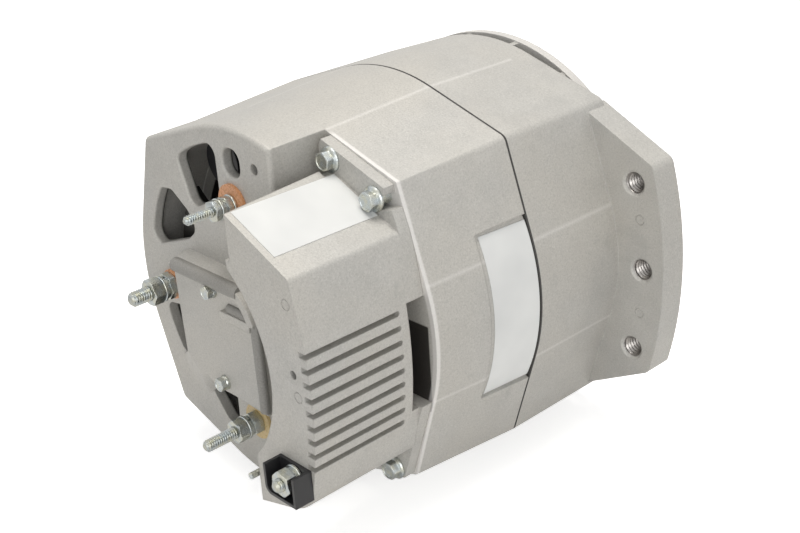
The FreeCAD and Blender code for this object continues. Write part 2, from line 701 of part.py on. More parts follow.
def regulator_housing():
    """Finned C-shaped casting that stands in the bay and reaches the shoulder by a lug and two feet."""
    body = new_body("regulator_housing")
    length = "regulator_front - regulator_rear"
    zone_top = "(fin_first_z + fin_pitch / 2)"
    zone_low = "(fin_first_z - fin_pitch * (fin_count - 0.5))"
    sunk_arc = "regulator_arc - fin_depth"
    skin = outline(across(body, "fin_skin", "regulator_front"), [
        (*flank(0, zone_low), "regulator_arc", "left"), flank(0, zone_top),
        (*flank("fin_depth", zone_top), sunk_arc, "right"), flank("fin_depth", zone_low)])
    pad(body, skin, length)
    gaps = new_sketch(body, "fin_gaps", "YZ_Plane", "regulator_reach + 1")
    rear = "regulator_rear - 2"
    front = "regulator_rear + fin_length - fin_gap / 2"
    for number in range(SIZES["fin_count"]):
        height = f"fin_first_z - fin_pitch * {number}"
        low, high = f"{height} - fin_gap / 2", f"{height} + fin_gap / 2"
        outline(gaps, [(rear, low), (front, low, "fin_gap / 2 + 0.01", "left"), (front, high), (rear, high)])
    pocket(body, gaps, "regulator_arc / 4", toward="front")
    corner_low = "-regulator_corner_z"
    core = "regulator_core_radius"
    top_left = ("regulator_left_x - regulator_taper", "regulator_top_z + regulator_taper_rise")
    section = outline(across(body, "section", "regulator_front"), [
        ("regulator_bottom_x", "-regulator_bottom_z"), ("regulator_low_x", "-regulator_low_z", 35, "left"),
        (*flank(0, corner_low), "regulator_arc", "left"), flank(0, zone_low),
        (*flank("fin_depth", zone_low), sunk_arc, "left"), flank("fin_depth", zone_top),
        (*flank(0, zone_top), "regulator_arc", "left"), flank(0, "label_edge_z"),
        top_left, (*polar(core, 51), core, "right"), polar(core, -44.5)])
    pad(body, section, length)
    wedge = outline(new_sketch(body, "left_taper", "XY_Plane", "regulator_corner_z"), [
        ("regulator_left_x - regulator_taper", "regulator_front"), ("regulator_left_x", "regulator_rear"),
        ("regulator_left_x", "regulator_rear - 1"),
        ("regulator_left_x - regulator_taper - 2", "regulator_rear - 1"),
        ("regulator_left_x - regulator_taper - 2", "regulator_front")])
    pocket(body, wedge, "regulator_corner_z", toward="rear")
    relief = outline(across(body, "relief", "regulator_front"), [
        ("bay_offset", "-window_bottom"), ("regulator_reach + 2", "-window_bottom"),
        ("regulator_reach + 2", "window_top"), ("bay_offset", "window_top")])
    pocket(body, relief, "regulator_relief")
    upper = outline(across(body, "upper_foot", "shoulder"), [
        polar(core, 24), (*flank(0, "window_top"), "regulator_arc", "left"), flank(0, "label_edge_z"),
        (77, 63.8), (62.5, 61.2), (62.5, 69.5), (72.3, 69.5), (72.6, 72.9),
        (32.7, 87), (30.9, 84.2), (30.5, 76),
        top_left, (*polar(core, 51), core, "right")])
    pad(body, upper, "regulator_gap")
    lower = outline(across(body, "lower_foot", "shoulder"), [
        (*polar(core, -28), core, "right"), polar(core, -44.5), ("regulator_bottom_x", "-regulator_bottom_z"),
        (54, -66), (58.3, -78.4), polar("rear_reach - 1.5", -45), polar("rear_radius - 0.5", "-barrel_arc")])
    pad(body, lower, "regulator_gap")
    level = value("label_edge_z")
    round_edges(body, "regulator_rounding",
                lambda edge: lengthwise(edge) and abs(edge.CenterOfMass.z - level) < 0.5
                and edge.BoundBox.YMin < value("regulator_front") - 1, "label_edge")
    pocket(body, well(across(body, "cavity", "regulator_front")), "potting_depth")
    holes = across(body, "bolt_holes", "shoulder")
    for number, (x, z) in enumerate(REGULATOR_BOLTS):
        circle(holes, x, z, "spacer_radius + 0.1" if number == SPACED_BOLT else "bolt_radius")
    pocket(body, holes, "regulator_gap")
    scallops = across(body, "bolt_scallops", "regulator_front")
    for x, z in REGULATOR_BOLTS:
        circle(scallops, x, z, "bolt_flange_radius + 0.2")
    pocket(body, scallops, "bolt_head + bolt_flange + 0.5")
    rear_holes = circle(across(body, "rear_holes", "regulator_rear"), 77.4, "regulator_hole_z", 2)
    circle(rear_holes, *FIELD_STUD, "ground_radius")
    circle(rear_holes, *REGULATOR_PIN, "pin_radius")
    pocket(body, rear_holes, 10, toward="front")
    potting = new_body("regulator_potting")
    fill = well(across(potting, "fill", "regulator_front - potting_setback"))
    pad(potting, fill, "potting_depth - potting_setback")


def lie_along(item, level, x=0, z=0):
    """Lay a primitive with its axis parallel to the shaft and its start at a level."""
    item.Placement.Rotation = FreeCAD.Rotation(Vector(1, 0, 0), -90)
    bind(item, **{".Placement.Base.x": x, ".Placement.Base.y": level, ".Placement.Base.z": z})
    return item


def rod(name, radius, low, high, x=0, z=0):
    """A round bar between two levels."""
    item = doc.addObject("Part::Cylinder", name)
    bind(item, Radius=radius, Height=f"({high}) - ({low})")
    return lie_along(item, low, x, z)


def cone(name, first, last, low, high, x=0, z=0):
    """A round bar whose radius changes from the lower to the higher level."""
    item = doc.addObject("Part::Cone", name)
    bind(item, Radius1=first, Radius2=last, Height=f"({high}) - ({low})")
    return lie_along(item, low, x, z)


def hexagon(name, flats, low, high, x=0, z=0):
    """A hexagonal bar between two levels, given across its flats."""
    item = doc.addObject("Part::Prism", name)
    item.Polygon = 6
    bind(item, Circumradius=f"({flats}) / 2 / cos(30)", Height=f"({high}) - ({low})")
    return lie_along(item, low, x, z)


def cut(name, base, tool):
    item = doc.addObject("Part::Cut", name)
    item.Base = base
    item.Tool = tool
    return item


def fuse(name, *members):
    item = doc.addObject("Part::MultiFuse", name)
    item.Shapes = list(members)
    item.Refine = True
    return item


def ring(name, outer, inner, low, high, x=0, z=0):
    return cut(name, rod(f"{name}_disc", outer, low, high, x, z), rod(f"{name}_bore", inner, low, high, x, z))


def nut(name, flats, inner, low, high, x=0, z=0):
    block = hexagon(f"{name}_hexagon", flats, low, high, x, z)
    return cut(name, block, rod(f"{name}_bore", inner, low, high, x, z))


def group(label, members):
    """One node for pieces that share it: alone a piece takes the label, several become a compound."""
    if len(members) == 1:
        item = members[0]
    else:
        item = doc.addObject("Part::Compound", f"{label}_group")
        item.Links = members
    item.Label = label
    return item


def regulator_fasteners():
    bolts = []
    for number, (x, z) in enumerate(REGULATOR_BOLTS):
        name = f"regulator_bolt_{number}"
        head = "regulator_front - bolt_flange"
        shank = rod(f"{name}_shank", "bolt_radius", "regulator_front", "shoulder + bolt_depth - 2", x, z)
        flange = rod(f"{name}_flange", "bolt_flange_radius", head, "regulator_front", x, z)
        bolts.append(fuse(name, shank, flange, hexagon(f"{name}_head", "bolt_flats", f"{head} - bolt_head", head,
                                                       x, z)))
    group("regulator_bolts", bolts)
    ring("regulator_spacer", "spacer_radius", "bolt_radius", "regulator_front", "shoulder",
         *REGULATOR_BOLTS[SPACED_BOLT])
    pin = rod("pin", "pin_radius", "regulator_rear - 3.5", "regulator_rear + 10", *REGULATOR_PIN)
    pin.Label = "regulator_pin"


def terminal_shield():
    """Plastic shield behind the regulator's terminal: a back plate with walls on three sides."""
    body = new_body("terminal_shield")
    plate = outline(across(body, "plate", "regulator_rear"), [
        ("shield_left", "-shield_top"), ("shield_left", "4 - shield_bottom", 4, "left"),
        ("shield_left + 4", "-shield_bottom"), ("shield_right", "-shield_bottom"),
        ("shield_right", "-shield_top")])
    pad(body, plate, "shield_depth")
    room = outline(across(body, "room", "regulator_rear - shield_wall"), [
        ("shield_left + shield_wall", "3 - shield_top"),
        ("shield_left + shield_wall", "4 - shield_bottom", "4 - shield_wall", "left"),
        ("shield_left + 4", "shield_wall - shield_bottom"),
        ("shield_right - shield_wall", "shield_wall - shield_bottom"),
        ("shield_right - shield_wall", "3 - shield_top")])
    pocket(body, room, "shield_depth - shield_wall")
    pocket(body, circle(across(body, "stud_hole", "regulator_rear"), *FIELD_STUD, "ground_radius"), "shield_wall")


def terminals():
    """Each terminal's stud, its insulator, and its washers and nuts in their order from the housing.

    Where nuts hold it the stud has the radius of the thread's root, as their bores have. Its free end has
    the thread's full radius, and washers, insulator and heat sink clear that.
    """
    for name, (x, z) in STUDS.items():
        root = f"{name}_radius - stud_relief"
        clear = f"{name}_radius + stud_clearance"
        level = "rear_face"
        flange = rod(f"{name}_flange", f"{name}_flange_radius", f"{level} - insulator_flange", level, x, z)
        neck = rod(f"{name}_neck", f"{name}_radius + bushing_wall", level, "heat_sink_rear", x, z)
        bushing = fuse(f"{name}_bushing", flange, neck)
        through = rod(f"{name}_insulator_bore", clear, f"{level} - insulator_flange", "heat_sink_rear", x, z)
        cut(f"{name}_insulator_body", bushing, through).Label = f"{name}_insulator"
        level = f"{level} - insulator_flange"
        washers = []
        nuts = []
        for number, kind in enumerate(STACKS[name]):
            thickness = f"{name}_nut" if kind == "nut" else f"{kind}_thickness"
            low = f"{level} - {thickness}"
            piece = f"{name}_{kind}_{number}"
            if kind in ("nut", "jam"):
                nuts.append(nut(piece, f"{name}_flats", root, low, level, x, z))
            else:
                outer = f"{name}_flats / 2 + 0.6" if kind == "washer" else f"{name}_flats / 2 - 0.3"
                washers.append(ring(piece, outer, clear, low, level, x, z))
            level = low
        group(f"{name}_washers", washers)
        group(f"{name}_nuts", nuts)
        tip = f"rear_face - {name}_tip"
        held = rod(f"{name}_rod", root, level, "stud_inner_end", x, z)
        free = rod(f"{name}_free_end", f"{name}_radius", f"{tip} + stud_bevel", level, x, z)
        end = cone(f"{name}_point", f"{name}_radius - stud_bevel", f"{name}_radius", tip, f"{tip} + stud_bevel",
                   x, z)
        head = rod(f"{name}_head", f"{name}_radius + stud_head_overhang", "stud_inner_end - stud_head",
                   "stud_inner_end", x, z)
        fuse(f"{name}_stud_body", held, free, end, head).Label = f"{name}_stud"
    x, z = FIELD_STUD
    level = "regulator_rear - shield_wall"
    middle = f"{level} - washer_thickness"
    top = f"{middle} - washer_thickness"
    washers = [ring("field_washer", "ground_flats / 2 + 0.6", "ground_radius", middle, level, x, z),
               ring("field_lock", "ground_flats / 2 - 0.3", "ground_radius", top, middle, x, z)]
    group("field_washers", washers)
    nut("field_nut", "ground_flats", "ground_radius", f"{top} - ground_nut", top, x, z)
    rod("field_stud", "ground_radius", "regulator_rear - field_tip", "regulator_rear + 10", x, z)


def brush_gear():
    """The holder under the slip rings, its two brushes and springs, and the screws through the pad."""
    body = new_body("brush_holder")
    base = "rear_wall_front"
    plate = outline(across(body, "plate", f"{base} + holder_plate"), [
        (-21, 18), (-21, -43), (7, -43), (7, "-ring_radius - 3"), (-8, "-ring_radius - 3"), (-8, 18)])
    pad(body, plate, "holder_plate")
    top = "-ring_radius - 2"
    low = "-ring_radius - brush_length - spring_length - 2.2"
    box = outline(across(body, "box", "holder_front"), [(-6, low), (6, low), (6, top), (-6, top)])
    pad(body, box, f"holder_front - ({base})")
    slots = new_sketch(body, "slots", "XY_Plane", top)
    half_wide = "brush_width / 2 + brush_clearance"
    half_deep = "brush_depth / 2 + brush_clearance"
    for level in ("inner_ring_level", "outer_ring_level"):
        low, high = f"{level} - ({half_wide})", f"{level} + {half_wide}"
        outline(slots, [(f"-({half_deep})", low), (half_deep, low), (half_deep, high), (f"-({half_deep})", high)])
    pocket(body, slots, "brush_length + spring_length - 2", toward="front")
    holes = across(body, "screw_holes", f"{base} + holder_plate")
    screws = []
    for number, (x, z) in enumerate(BRUSH_SCREWS):
        circle(holes, x, z, "brush_screw_radius")
        name = f"brush_screw_{number}"
        head = "pad_face - bolt_flange"
        shank = rod(f"{name}_shank", "brush_screw_radius", "pad_face", f"{base} + holder_plate", x, z)
        flange = rod(f"{name}_flange", "screw_flange", head, "pad_face", x, z)
        screws.append(fuse(name, shank, flange, hexagon(f"{name}_head", "screw_flats", f"{head} - screw_head", head,
                                                        x, z)))
    pocket(body, holes, "holder_plate")
    group("brush_holder_screws", screws)
    for name, level in (("inner", "inner_ring_level"), ("outer", "outer_ring_level")):
        brush = new_body(f"{name}_brush")
        half = "brush_width / 2"
        face = "ring_radius + ring_clearance"
        side = "brush_depth / 2"
        rise = f"sqrt(({face})^2 - ({side})^2)"
        profile = outline(across(brush, "profile", f"{level} + {half}"), [
            (f"-{side}", "-ring_radius - brush_length"), (side, "-ring_radius - brush_length"),
            (side, f"-{rise}", face, "right"), (f"-{side}", f"-{rise}")])
        pad(brush, profile, "brush_width")
        spring = doc.addObject("Part::Box", f"{name}_spring_block")
        bind(spring, Length="brush_depth - 1", Width="brush_width - 1", Height="spring_length - 0.2")
        bind(spring, **{".Placement.Base.x": "-(brush_depth - 1) / 2",
                        ".Placement.Base.y": f"{level} - (brush_width - 1) / 2",
                        ".Placement.Base.z": "-ring_radius - brush_length - spring_length"})
        spring.Label = f"{name}_brush_spring"


def rectifier():
    """Two heat sinks on the inner ends of the terminals' insulators, their diodes, and the capacitor."""
    level = "heat_sink_rear"
    diodes = []
    for label, stud, first, last, places in HEAT_SINKS:
        body = new_body(label)
        pad(body, kidney(across(body, "plate", f"{level} + heat_sink_thickness"), "heat_sink_inner",
                         "heat_sink_outer", first, last), "heat_sink_thickness")
        hole = circle(across(body, "stud_hole", f"{level} + heat_sink_thickness"), *STUDS[stud],
                      f"{stud}_radius + stud_clearance")
        pocket(body, hole, "heat_sink_thickness")
        for angle in places:
            place = polar("(heat_sink_inner + heat_sink_outer) / 2", angle)
            diodes.append(rod(f"diode_{angle}", "diode_radius", f"{level} + heat_sink_thickness",
                              f"{level} + heat_sink_thickness + diode_height", *place))
    group("rectifier_diodes", diodes)
    rod("capacitor", "capacitor_radius", "shoulder - capacitor_length", "shoulder", -29, 66)


def stator():
    """Laminated ring with open slots to the bore, and a winding whose legs lie in them."""
    core = new_body("stator_core")
    length = "stator_front - stator_rear"
    ring_sketch = circle(across(core, "ring", "stator_front"), 0, 0, "stator_radius")
    circle(ring_sketch, 0, 0, "stator_bore")
    pad(core, ring_sketch, length)
    half = "slot_width / 2"
    gap = outline(across(core, "slot", "stator_front"), [
        ("stator_bore - 2", f"-{half}"), ("stator_bore + slot_depth", f"-{half}"),
        ("stator_bore + slot_depth", half), ("stator_bore - 2", half)])
    polar_pattern(core, [pocket(core, gap, length)], "slot_count")
    winding = new_body("stator_winding")
    inner = "stator_bore + 2"
    outer = "stator_bore + slot_depth"
    leg = outline(across(winding, "leg", "stator_front + 1"), [
        (inner, f"-{half}"), (f"{outer}", f"-{half}"), (f"{outer}", half), (inner, half)])
    first = pad(winding, leg, f"{length} + 2")
    polar_pattern(winding, [first], "slot_count")
    bulge = "winding_thickness / 2"
    middle = f"({inner} + {bulge})"
    ends = (("front_turns", "stator_front + 0.5", "+"), ("rear_turns", "stator_rear - 0.5", "-"))
    for name, start, way in ends:
        far = f"{start} {way} (winding_overhang - {bulge})"
        side = "left" if way == "+" else "right"
        turn(winding, "Revolution", name, [
            (inner, start), (f"{middle} + {bulge}", start), (f"{middle} + {bulge}", far, f"{bulge} + 0.01", side),
            (inner, far)])


def bearing(name, bore, outer, rear, width, count):
    """Deep-groove ball bearing: grooved outer and inner race with balls between."""
    thick = f"(({outer} - {bore}) * race_thickness)"
    pitch = f"(({outer} + {bore}) / 2)"
    middle = f"({rear} + {width} / 2)"
    front = f"({rear} + {width})"
    gap = f"({pitch} - {bore} - {thick})"
    ball = f"({gap} * 1.3)"
    groove = f"({ball} + ball_play)"
    half = f"sqrt({groove}^2 - {gap}^2)"
    turn(new_body(f"{name}_outer_race"), "Revolution", "section", [
        (outer, rear), (outer, front), (f"{outer} - {thick}", front),
        (f"{outer} - {thick}", f"{middle} + {half}", groove, "right"),
        (f"{outer} - {thick}", f"{middle} - {half}"), (f"{outer} - {thick}", rear)])
    turn(new_body(f"{name}_inner_race"), "Revolution", "section", [
        (bore, rear), (f"{bore} + {thick}", rear),
        (f"{bore} + {thick}", f"{middle} - {half}", groove, "right"),
        (f"{bore} + {thick}", f"{middle} + {half}"), (f"{bore} + {thick}", front), (bore, front)])
    balls = []
    for number in range(count):
        item = doc.addObject("Part::Sphere", f"{name}_ball_{number}")
        bind(item, Radius=ball)
        x, z = polar(pitch, f"{number} * 360 / {count}")
        bind(item, **{".Placement.Base.x": x, ".Placement.Base.y": middle, ".Placement.Base.z": z})
        balls.append(item)
    group(f"{name}_balls", balls)


def bearings():
    bearing("rear_bearing", "rear_bearing_bore", "rear_bearing_radius",
            "(rear_bearing_end - rear_bearing_width)", "rear_bearing_width", 8)
    bearing("front_bearing", "front_bearing_bore", "front_bearing_radius",
            "(-front_bearing_front - front_bearing_width)", "front_bearing_width", 8)
    body = new_body("bearing_retainer")
    plate = circle(across(body, "plate", "-front_boss_rear"), 0, 0, "retainer_radius")
    circle(plate, 0, 0, "front_bearing_radius - 8")
    pad(body, plate, "retainer_thickness")
    holes = across(body, "holes", "-front_boss_rear")
    screws = []
    for number in range(3):
        place = polar("retainer_bolt_radius", 120 * number)
        circle(holes, *place, "retainer_screw_radius")
        name = f"retainer_screw_{number}"
        under = "-front_boss_rear - retainer_thickness"
        shank = rod(f"{name}_shank", "retainer_screw_radius", under, "-front_boss_rear + 9", *place)
        head = rod(f"{name}_head", "retainer_screw_radius + 1.8", f"{under} - 2.6", under, *place)
        screws.append(fuse(name, shank, head))
    pocket(body, holes, "retainer_thickness")
    group("retainer_screws", screws)


def through_bolts():
    bolts = []
    for quarter in range(4):
        place = polar("through_bolt_circle", 90 * quarter + 45)
        name = f"through_bolt_{quarter}"
        under = "-casting_front - through_bolt_sink"
        shank = rod(f"{name}_shank", "through_bolt_radius", "parting - through_bolt_depth + 2", under, *place)
        head = rod(f"{name}_head", "through_bolt_head_radius", under, f"{under} + through_bolt_head", *place)
        bolts.append(fuse(name, shank, head))
    group("through_bolts", bolts)


def rotor():
    """Shaft, claw poles, field coil on its bobbin, slip rings, fan and collars."""
    shaft = new_body("rotor_shaft")
    rear_seat = "rear_bearing_end - rear_bearing_width - 1"
    thread_end = "seat_length + thread_length"
    turn(shaft, "Revolution", "section", [
        (0, "shaft_tail"), ("tail_radius", "shaft_tail"), ("tail_radius", rear_seat),
        ("rear_bearing_bore", rear_seat), ("rear_bearing_bore", "rear_bearing_end"),
        ("shaft_radius", "rear_bearing_end"), ("shaft_radius", "-fan_rear"), ("fan_seat_radius", "-fan_rear"),
        ("fan_seat_radius", 0), ("seat_radius", 0), ("seat_radius", "seat_length"),
        ("thread_radius", "seat_length"), ("thread_radius", f"{thread_end} - 1.5"),
        ("thread_radius - 1.5", thread_end), (0, thread_end)])
    for label, turned in (("front_claw_pole", False), ("rear_claw_pole", True)):
        claw_pole(label, turned)
    bobbin = new_body("coil_bobbin")
    half = "(pole_length / 2 - pole_disc)"
    rear, front = f"(pole_middle - {half})", f"(pole_middle + {half})"
    core = "rotor_core_radius"
    turn(bobbin, "Revolution", "section", [
        (core, rear), ("coil_radius", rear), ("coil_radius", f"{rear} + bobbin_wall"),
        (f"{core} + bobbin_wall", f"{rear} + bobbin_wall"),
        (f"{core} + bobbin_wall", f"{front} - bobbin_wall"),
        ("coil_radius", f"{front} - bobbin_wall"), ("coil_radius", front), (core, front)])
    coil = new_body("field_coil")
    turn(coil, "Revolution", "section", [
        (f"{core} + bobbin_wall", f"{rear} + bobbin_wall"), ("coil_radius - 1", f"{rear} + bobbin_wall"),
        ("coil_radius - 1", f"{front} - bobbin_wall"), (f"{core} + bobbin_wall", f"{front} - bobbin_wall")])
    rings = [ring(f"{name}_ring", "ring_radius", "ring_bore", f"{level} - ring_length / 2",
                  f"{level} + ring_length / 2")
             for name, level in (("inner", "inner_ring_level"), ("outer", "outer_ring_level"))]
    group("slip_rings", rings)
    ring("slip_ring_insulator", "ring_bore", "tail_radius", "shaft_tail", "inner_ring_level + ring_length / 2 + 1")
    ring("bearing_spacer", "front_bearing_bore + 5", "shaft_radius", "-front_bearing_front", "-fan_rear")
    fan()
    ring("pulley_collar", "fan_hub_radius - 3", "fan_seat_radius", "fan_hub_front", 0)


def claw_pole(label, turned):
    """One half of the rotor's iron: a disc on half of the core, and tapered fingers that lie over the coil."""
    body = new_body(label)
    side = "-" if turned else "+"
    way = "front" if turned else "rear"
    outer_end = f"(pole_middle {side} pole_length / 2)"
    disc = circle(across(body, "disc", outer_end), 0, 0, "coil_radius + 3")
    circle(disc, 0, 0, "shaft_radius")
    pad(body, disc, "pole_disc", toward=way)
    core = circle(across(body, "core", outer_end), 0, 0, "rotor_core_radius")
    circle(core, 0, 0, "shaft_radius")
    pad(body, core, "pole_length / 2", toward=way)
    finger = new_sketch(body, "finger", "YZ_Plane", "rotor_radius + 2")
    tip = f"pole_middle {'+' if turned else '-'} (pole_length / 2 - 1)"
    outline(finger, [(outer_end, "-finger_root / 2"), (outer_end, "finger_root / 2"),
                     (tip, "finger_tip / 2"), (tip, "-finger_tip / 2")][::1 if turned else -1])
    blade = extrude(body, "Pad", finger, "finger_thickness + 2", toward="front")
    root = outline(across(body, "root", outer_end), [
        ("coil_radius - 2", "-finger_root / 2 + 6"), ("rotor_radius + 2", "-finger_root / 2"),
        ("rotor_radius + 2", "finger_root / 2"), ("coil_radius - 2", "finger_root / 2 - 6")])
    block = pad(body, root, "pole_disc", toward=way)
    polar_pattern(body, [blade, block], "pole_count")
    turn(body, "Groove", "turned_outside", [
        ("rotor_radius", "pole_middle - pole_length"), ("rotor_radius + 9", "pole_middle - pole_length"),
        ("rotor_radius + 9", "pole_middle + pole_length"), ("rotor_radius", "pole_middle + pole_length")])
    if turned:
        body.Placement.Rotation = FreeCAD.Rotation(Vector(0, 1, 0), 180 / SIZES["pole_count"])


def fan():
    """Centrifugal fan: back plate with curved blades on its front and a hub on the shaft."""
    body = new_body("cooling_fan")
    plate_front = "(fan_plate - fan_rear)"
    turn(body, "Revolution", "plate", [
        ("fan_seat_radius", "-fan_rear"), ("fan_radius", "-fan_rear"), ("fan_radius", plate_front),
        ("fan_hub_radius", plate_front), ("fan_hub_radius", "fan_hub_front"),
        ("fan_seat_radius", "fan_hub_front")])
    eye = "fan_eye_radius"
    tip = "fan_radius - 1"
    bow = "fan_blade_curve"
    inner = f"{bow} - fan_blade_thickness"
    blade = outline(across(body, "blade", plate_front), [
        (*polar(eye, 0), bow, "left"), polar(tip, 24),
        (*polar(tip, "24 + fan_blade_thickness / fan_radius * 80"), inner, "right"),
        polar(eye, "fan_blade_thickness / fan_eye_radius * 80")])
    polar_pattern(body, [pad(body, blade, "fan_blade_height", toward="front")], "fan_blade_count")


def write_steps():
    """Check every object, then write each piece under its label."""
    doc.recompute()
    broken = [item.Name for item in doc.Objects if "Invalid" in item.State or "Error" in item.State]
    if broken:
        raise RuntimeError(f"failed objects: {broken}")
    os.makedirs("parts", exist_ok=True)
    solids = [item for item in doc.Objects if item.TypeId.startswith("Part::")]
    inside = {link.Name for item in solids for link in item.OutList}
    pieces = [item for item in doc.Objects
              if item.TypeId == "PartDesign::Body" or item in solids and item.Name not in inside]
    for item in pieces:
        if item.Shape.isNull() or not item.Shape.isValid():
            raise RuntimeError(f"{item.Label} has no valid shape")
        item.Shape.exportStep(f"parts/{item.Label}.step")
    print(len(pieces), "nodes")


rear_housing()
drive_end_housing()
regulator_housing()
regulator_fasteners()
terminal_shield()
terminals()
brush_gear()
rectifier()
stator()
bearings()
through_bolts()
rotor()
write_steps()
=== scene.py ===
"""Looks of a heavy-duty alternator: cast housings, zinc fasteners, threads, labels and winding.

Everything is in metres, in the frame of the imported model: +Y along the shaft to the drive end,
+Z up, +X to the mounting flange, origin on the shaft axis where the pulley seats.
"""
import json
import math

import bpy
from mathutils import Matrix, Vector


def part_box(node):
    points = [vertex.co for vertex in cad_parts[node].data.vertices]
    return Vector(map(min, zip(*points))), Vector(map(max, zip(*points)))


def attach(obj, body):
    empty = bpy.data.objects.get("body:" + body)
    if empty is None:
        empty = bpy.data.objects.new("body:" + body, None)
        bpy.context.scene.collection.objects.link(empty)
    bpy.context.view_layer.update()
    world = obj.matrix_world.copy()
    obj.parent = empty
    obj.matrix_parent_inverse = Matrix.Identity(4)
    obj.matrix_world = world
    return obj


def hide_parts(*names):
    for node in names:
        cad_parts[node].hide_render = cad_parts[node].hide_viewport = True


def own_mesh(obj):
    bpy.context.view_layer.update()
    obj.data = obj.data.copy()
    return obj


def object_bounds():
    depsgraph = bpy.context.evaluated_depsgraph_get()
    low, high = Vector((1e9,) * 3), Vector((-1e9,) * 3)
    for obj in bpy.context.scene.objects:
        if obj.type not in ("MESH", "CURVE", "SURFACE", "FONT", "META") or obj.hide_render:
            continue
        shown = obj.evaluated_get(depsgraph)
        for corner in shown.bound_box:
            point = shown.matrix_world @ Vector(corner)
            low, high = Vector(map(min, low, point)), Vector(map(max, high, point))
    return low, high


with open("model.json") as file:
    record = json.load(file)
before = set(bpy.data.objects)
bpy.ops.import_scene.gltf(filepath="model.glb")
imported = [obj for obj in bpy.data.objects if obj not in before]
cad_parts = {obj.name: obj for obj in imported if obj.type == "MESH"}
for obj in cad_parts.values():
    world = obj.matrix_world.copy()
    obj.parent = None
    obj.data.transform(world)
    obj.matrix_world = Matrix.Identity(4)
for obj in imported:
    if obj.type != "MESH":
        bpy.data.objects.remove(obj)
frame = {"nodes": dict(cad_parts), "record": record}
cad_low, cad_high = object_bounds()
MM = 0.001

# The camera, found from the photograph's perspective: 800 x 533 pixels.
CAMERA_PLACE = Vector((0.4491, -0.4834, 0.2618))
CAMERA_FORWARD = Vector((-0.68189, 0.60438, -0.41201))
CAMERA_RIGHT = Vector((0.68293, 0.72780, -0.06265))
FOCAL_SHARE = 1.25663 / 0.8
SENSOR = 36.0
FLOOR_DROP = 0.0004
WARM_LIGHT = (1.0, 0.965, 0.915)

# Levels along the shaft, radii of the castings, and measures of what is laid on them.
REAR_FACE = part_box("rear_housing")[0].y + 13.3 * MM
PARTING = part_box("rear_housing")[1].y
BARREL_RADIUS = 98 * MM
BARREL_SLOPE = math.tan(math.radians(4.3))
LABEL_RECESS = 0.9 * MM
LABEL_THICKNESS = 0.25 * MM
PAD_HEIGHT = 10.3 * MM
WINDING_BULGE = 7.5 * MM
WINDING_MIDDLE = (64.2 + 2) * MM + WINDING_BULGE
TURN_COUNT = 108
WIRE_RADIUS = 0.75 * MM
FLANGE_FRONT = -12 * MM
FLANGE_REAR = FLANGE_FRONT - 15.8 * MM
TAP_RADIUS = 5.36 * MM
THREAD_PITCH = 1.95 * MM
THREAD_DEPTH = 0.85 * MM
THREAD_INSET = 1.3 * MM
SPRING_WIRE = 0.35 * MM
SPRING_TURNS = 4
SHOULDER = PARTING - 64.3 * MM
BARREL_ARC = math.radians(18)
# Width of the painted highlight along each crease of the barrel.
CREASE_HIGHLIGHT_WIDTH = 1.5 * MM
# Rooms inside the castings and the hollow behind the shoulder's window, darkened with painted shade.
REAR_ROOM = (REAR_FACE + 5.8 * MM, SHOULDER - 0.5 * MM)
REAR_ROOM_SIDE = 22.6 * MM
REAR_ROOM_RADIUS = 84.2 * MM
FAN_ROOM = (-36 * MM, -9 * MM)
FAN_ROOM_RADIUS = 91.2 * MM
SHOULDER_WINDOW_X = (72 * MM, 88 * MM)
SHOULDER_WINDOW_Z = (-34 * MM, 9 * MM)
BARREL_LABEL_Z = (-41 * MM, 40 * MM)
BARREL_LABEL_LENGTH = 29 * MM
REGULATOR_LABEL_Y = (-213.4 * MM, -157.2 * MM)
REGULATOR_LABEL_LENGTH = 30 * MM

# Places across the shaft in mm, each with the turn of its piece, and the two ends of the regulator's slope.
REGULATOR_BOLTS = ((38.6, 78.8, 0.2), (66.2, 66.7, 0.75), (67.1, -69.1, 0.45))
BRUSH_SCREWS = ((-14.5, 12, 0.1), (-13, -37.3, 0.6))
FLANGE_HOLES = ((106.6, 44.1, 0.0), (111.9, 0, 1.9), (106.6, -44.1, 3.7))
REGULATOR_MARKS = ((79.2, 0.1, 0.0), (77.3, 42.5, 0.0))
FLANGE_MARKS = ((110.6, 26.3, 0.0), (111.2, -23.5, 0.0))
REGULATOR_SLOPE = ((41, 72.8), (80.5, 54.4))

CASTING_TONE = (0.485, 0.476, 0.450)
# Painted light on the castings: highlights on the barrel's creases and on lips and rims, shade in the
# parting's seam, the inner rooms and the hollow behind the shoulder's window.
CREASE_HIGHLIGHT_TONE = (0.84, 0.82, 0.80)
EDGE_HIGHLIGHT_TONE = (0.86, 0.84, 0.82)
SEAM_SHADE_TONE = (0.05, 0.048, 0.045)
ROOM_SHADE_TONE = (0.022, 0.020, 0.018)
HOLLOW_SHADE_TONE = (0.030, 0.027, 0.024)

# Soft lamps: place, size and power.
LAMPS = {
    "key": ((0.05, -0.05, 1.5), 0.8, 18.0),
    "fill": ((1.3, -0.9, 0.45), 1.0, 6.8),
    "rear": ((0.5, -1.7, 0.3), 1.0, 3.0),
}
LAMP_TARGET = Vector((0, -0.09, 0))
FLOOR_REACH = 30.0
FLOOR_GLOW = 0.62
WORLD_SHINE = 0.36


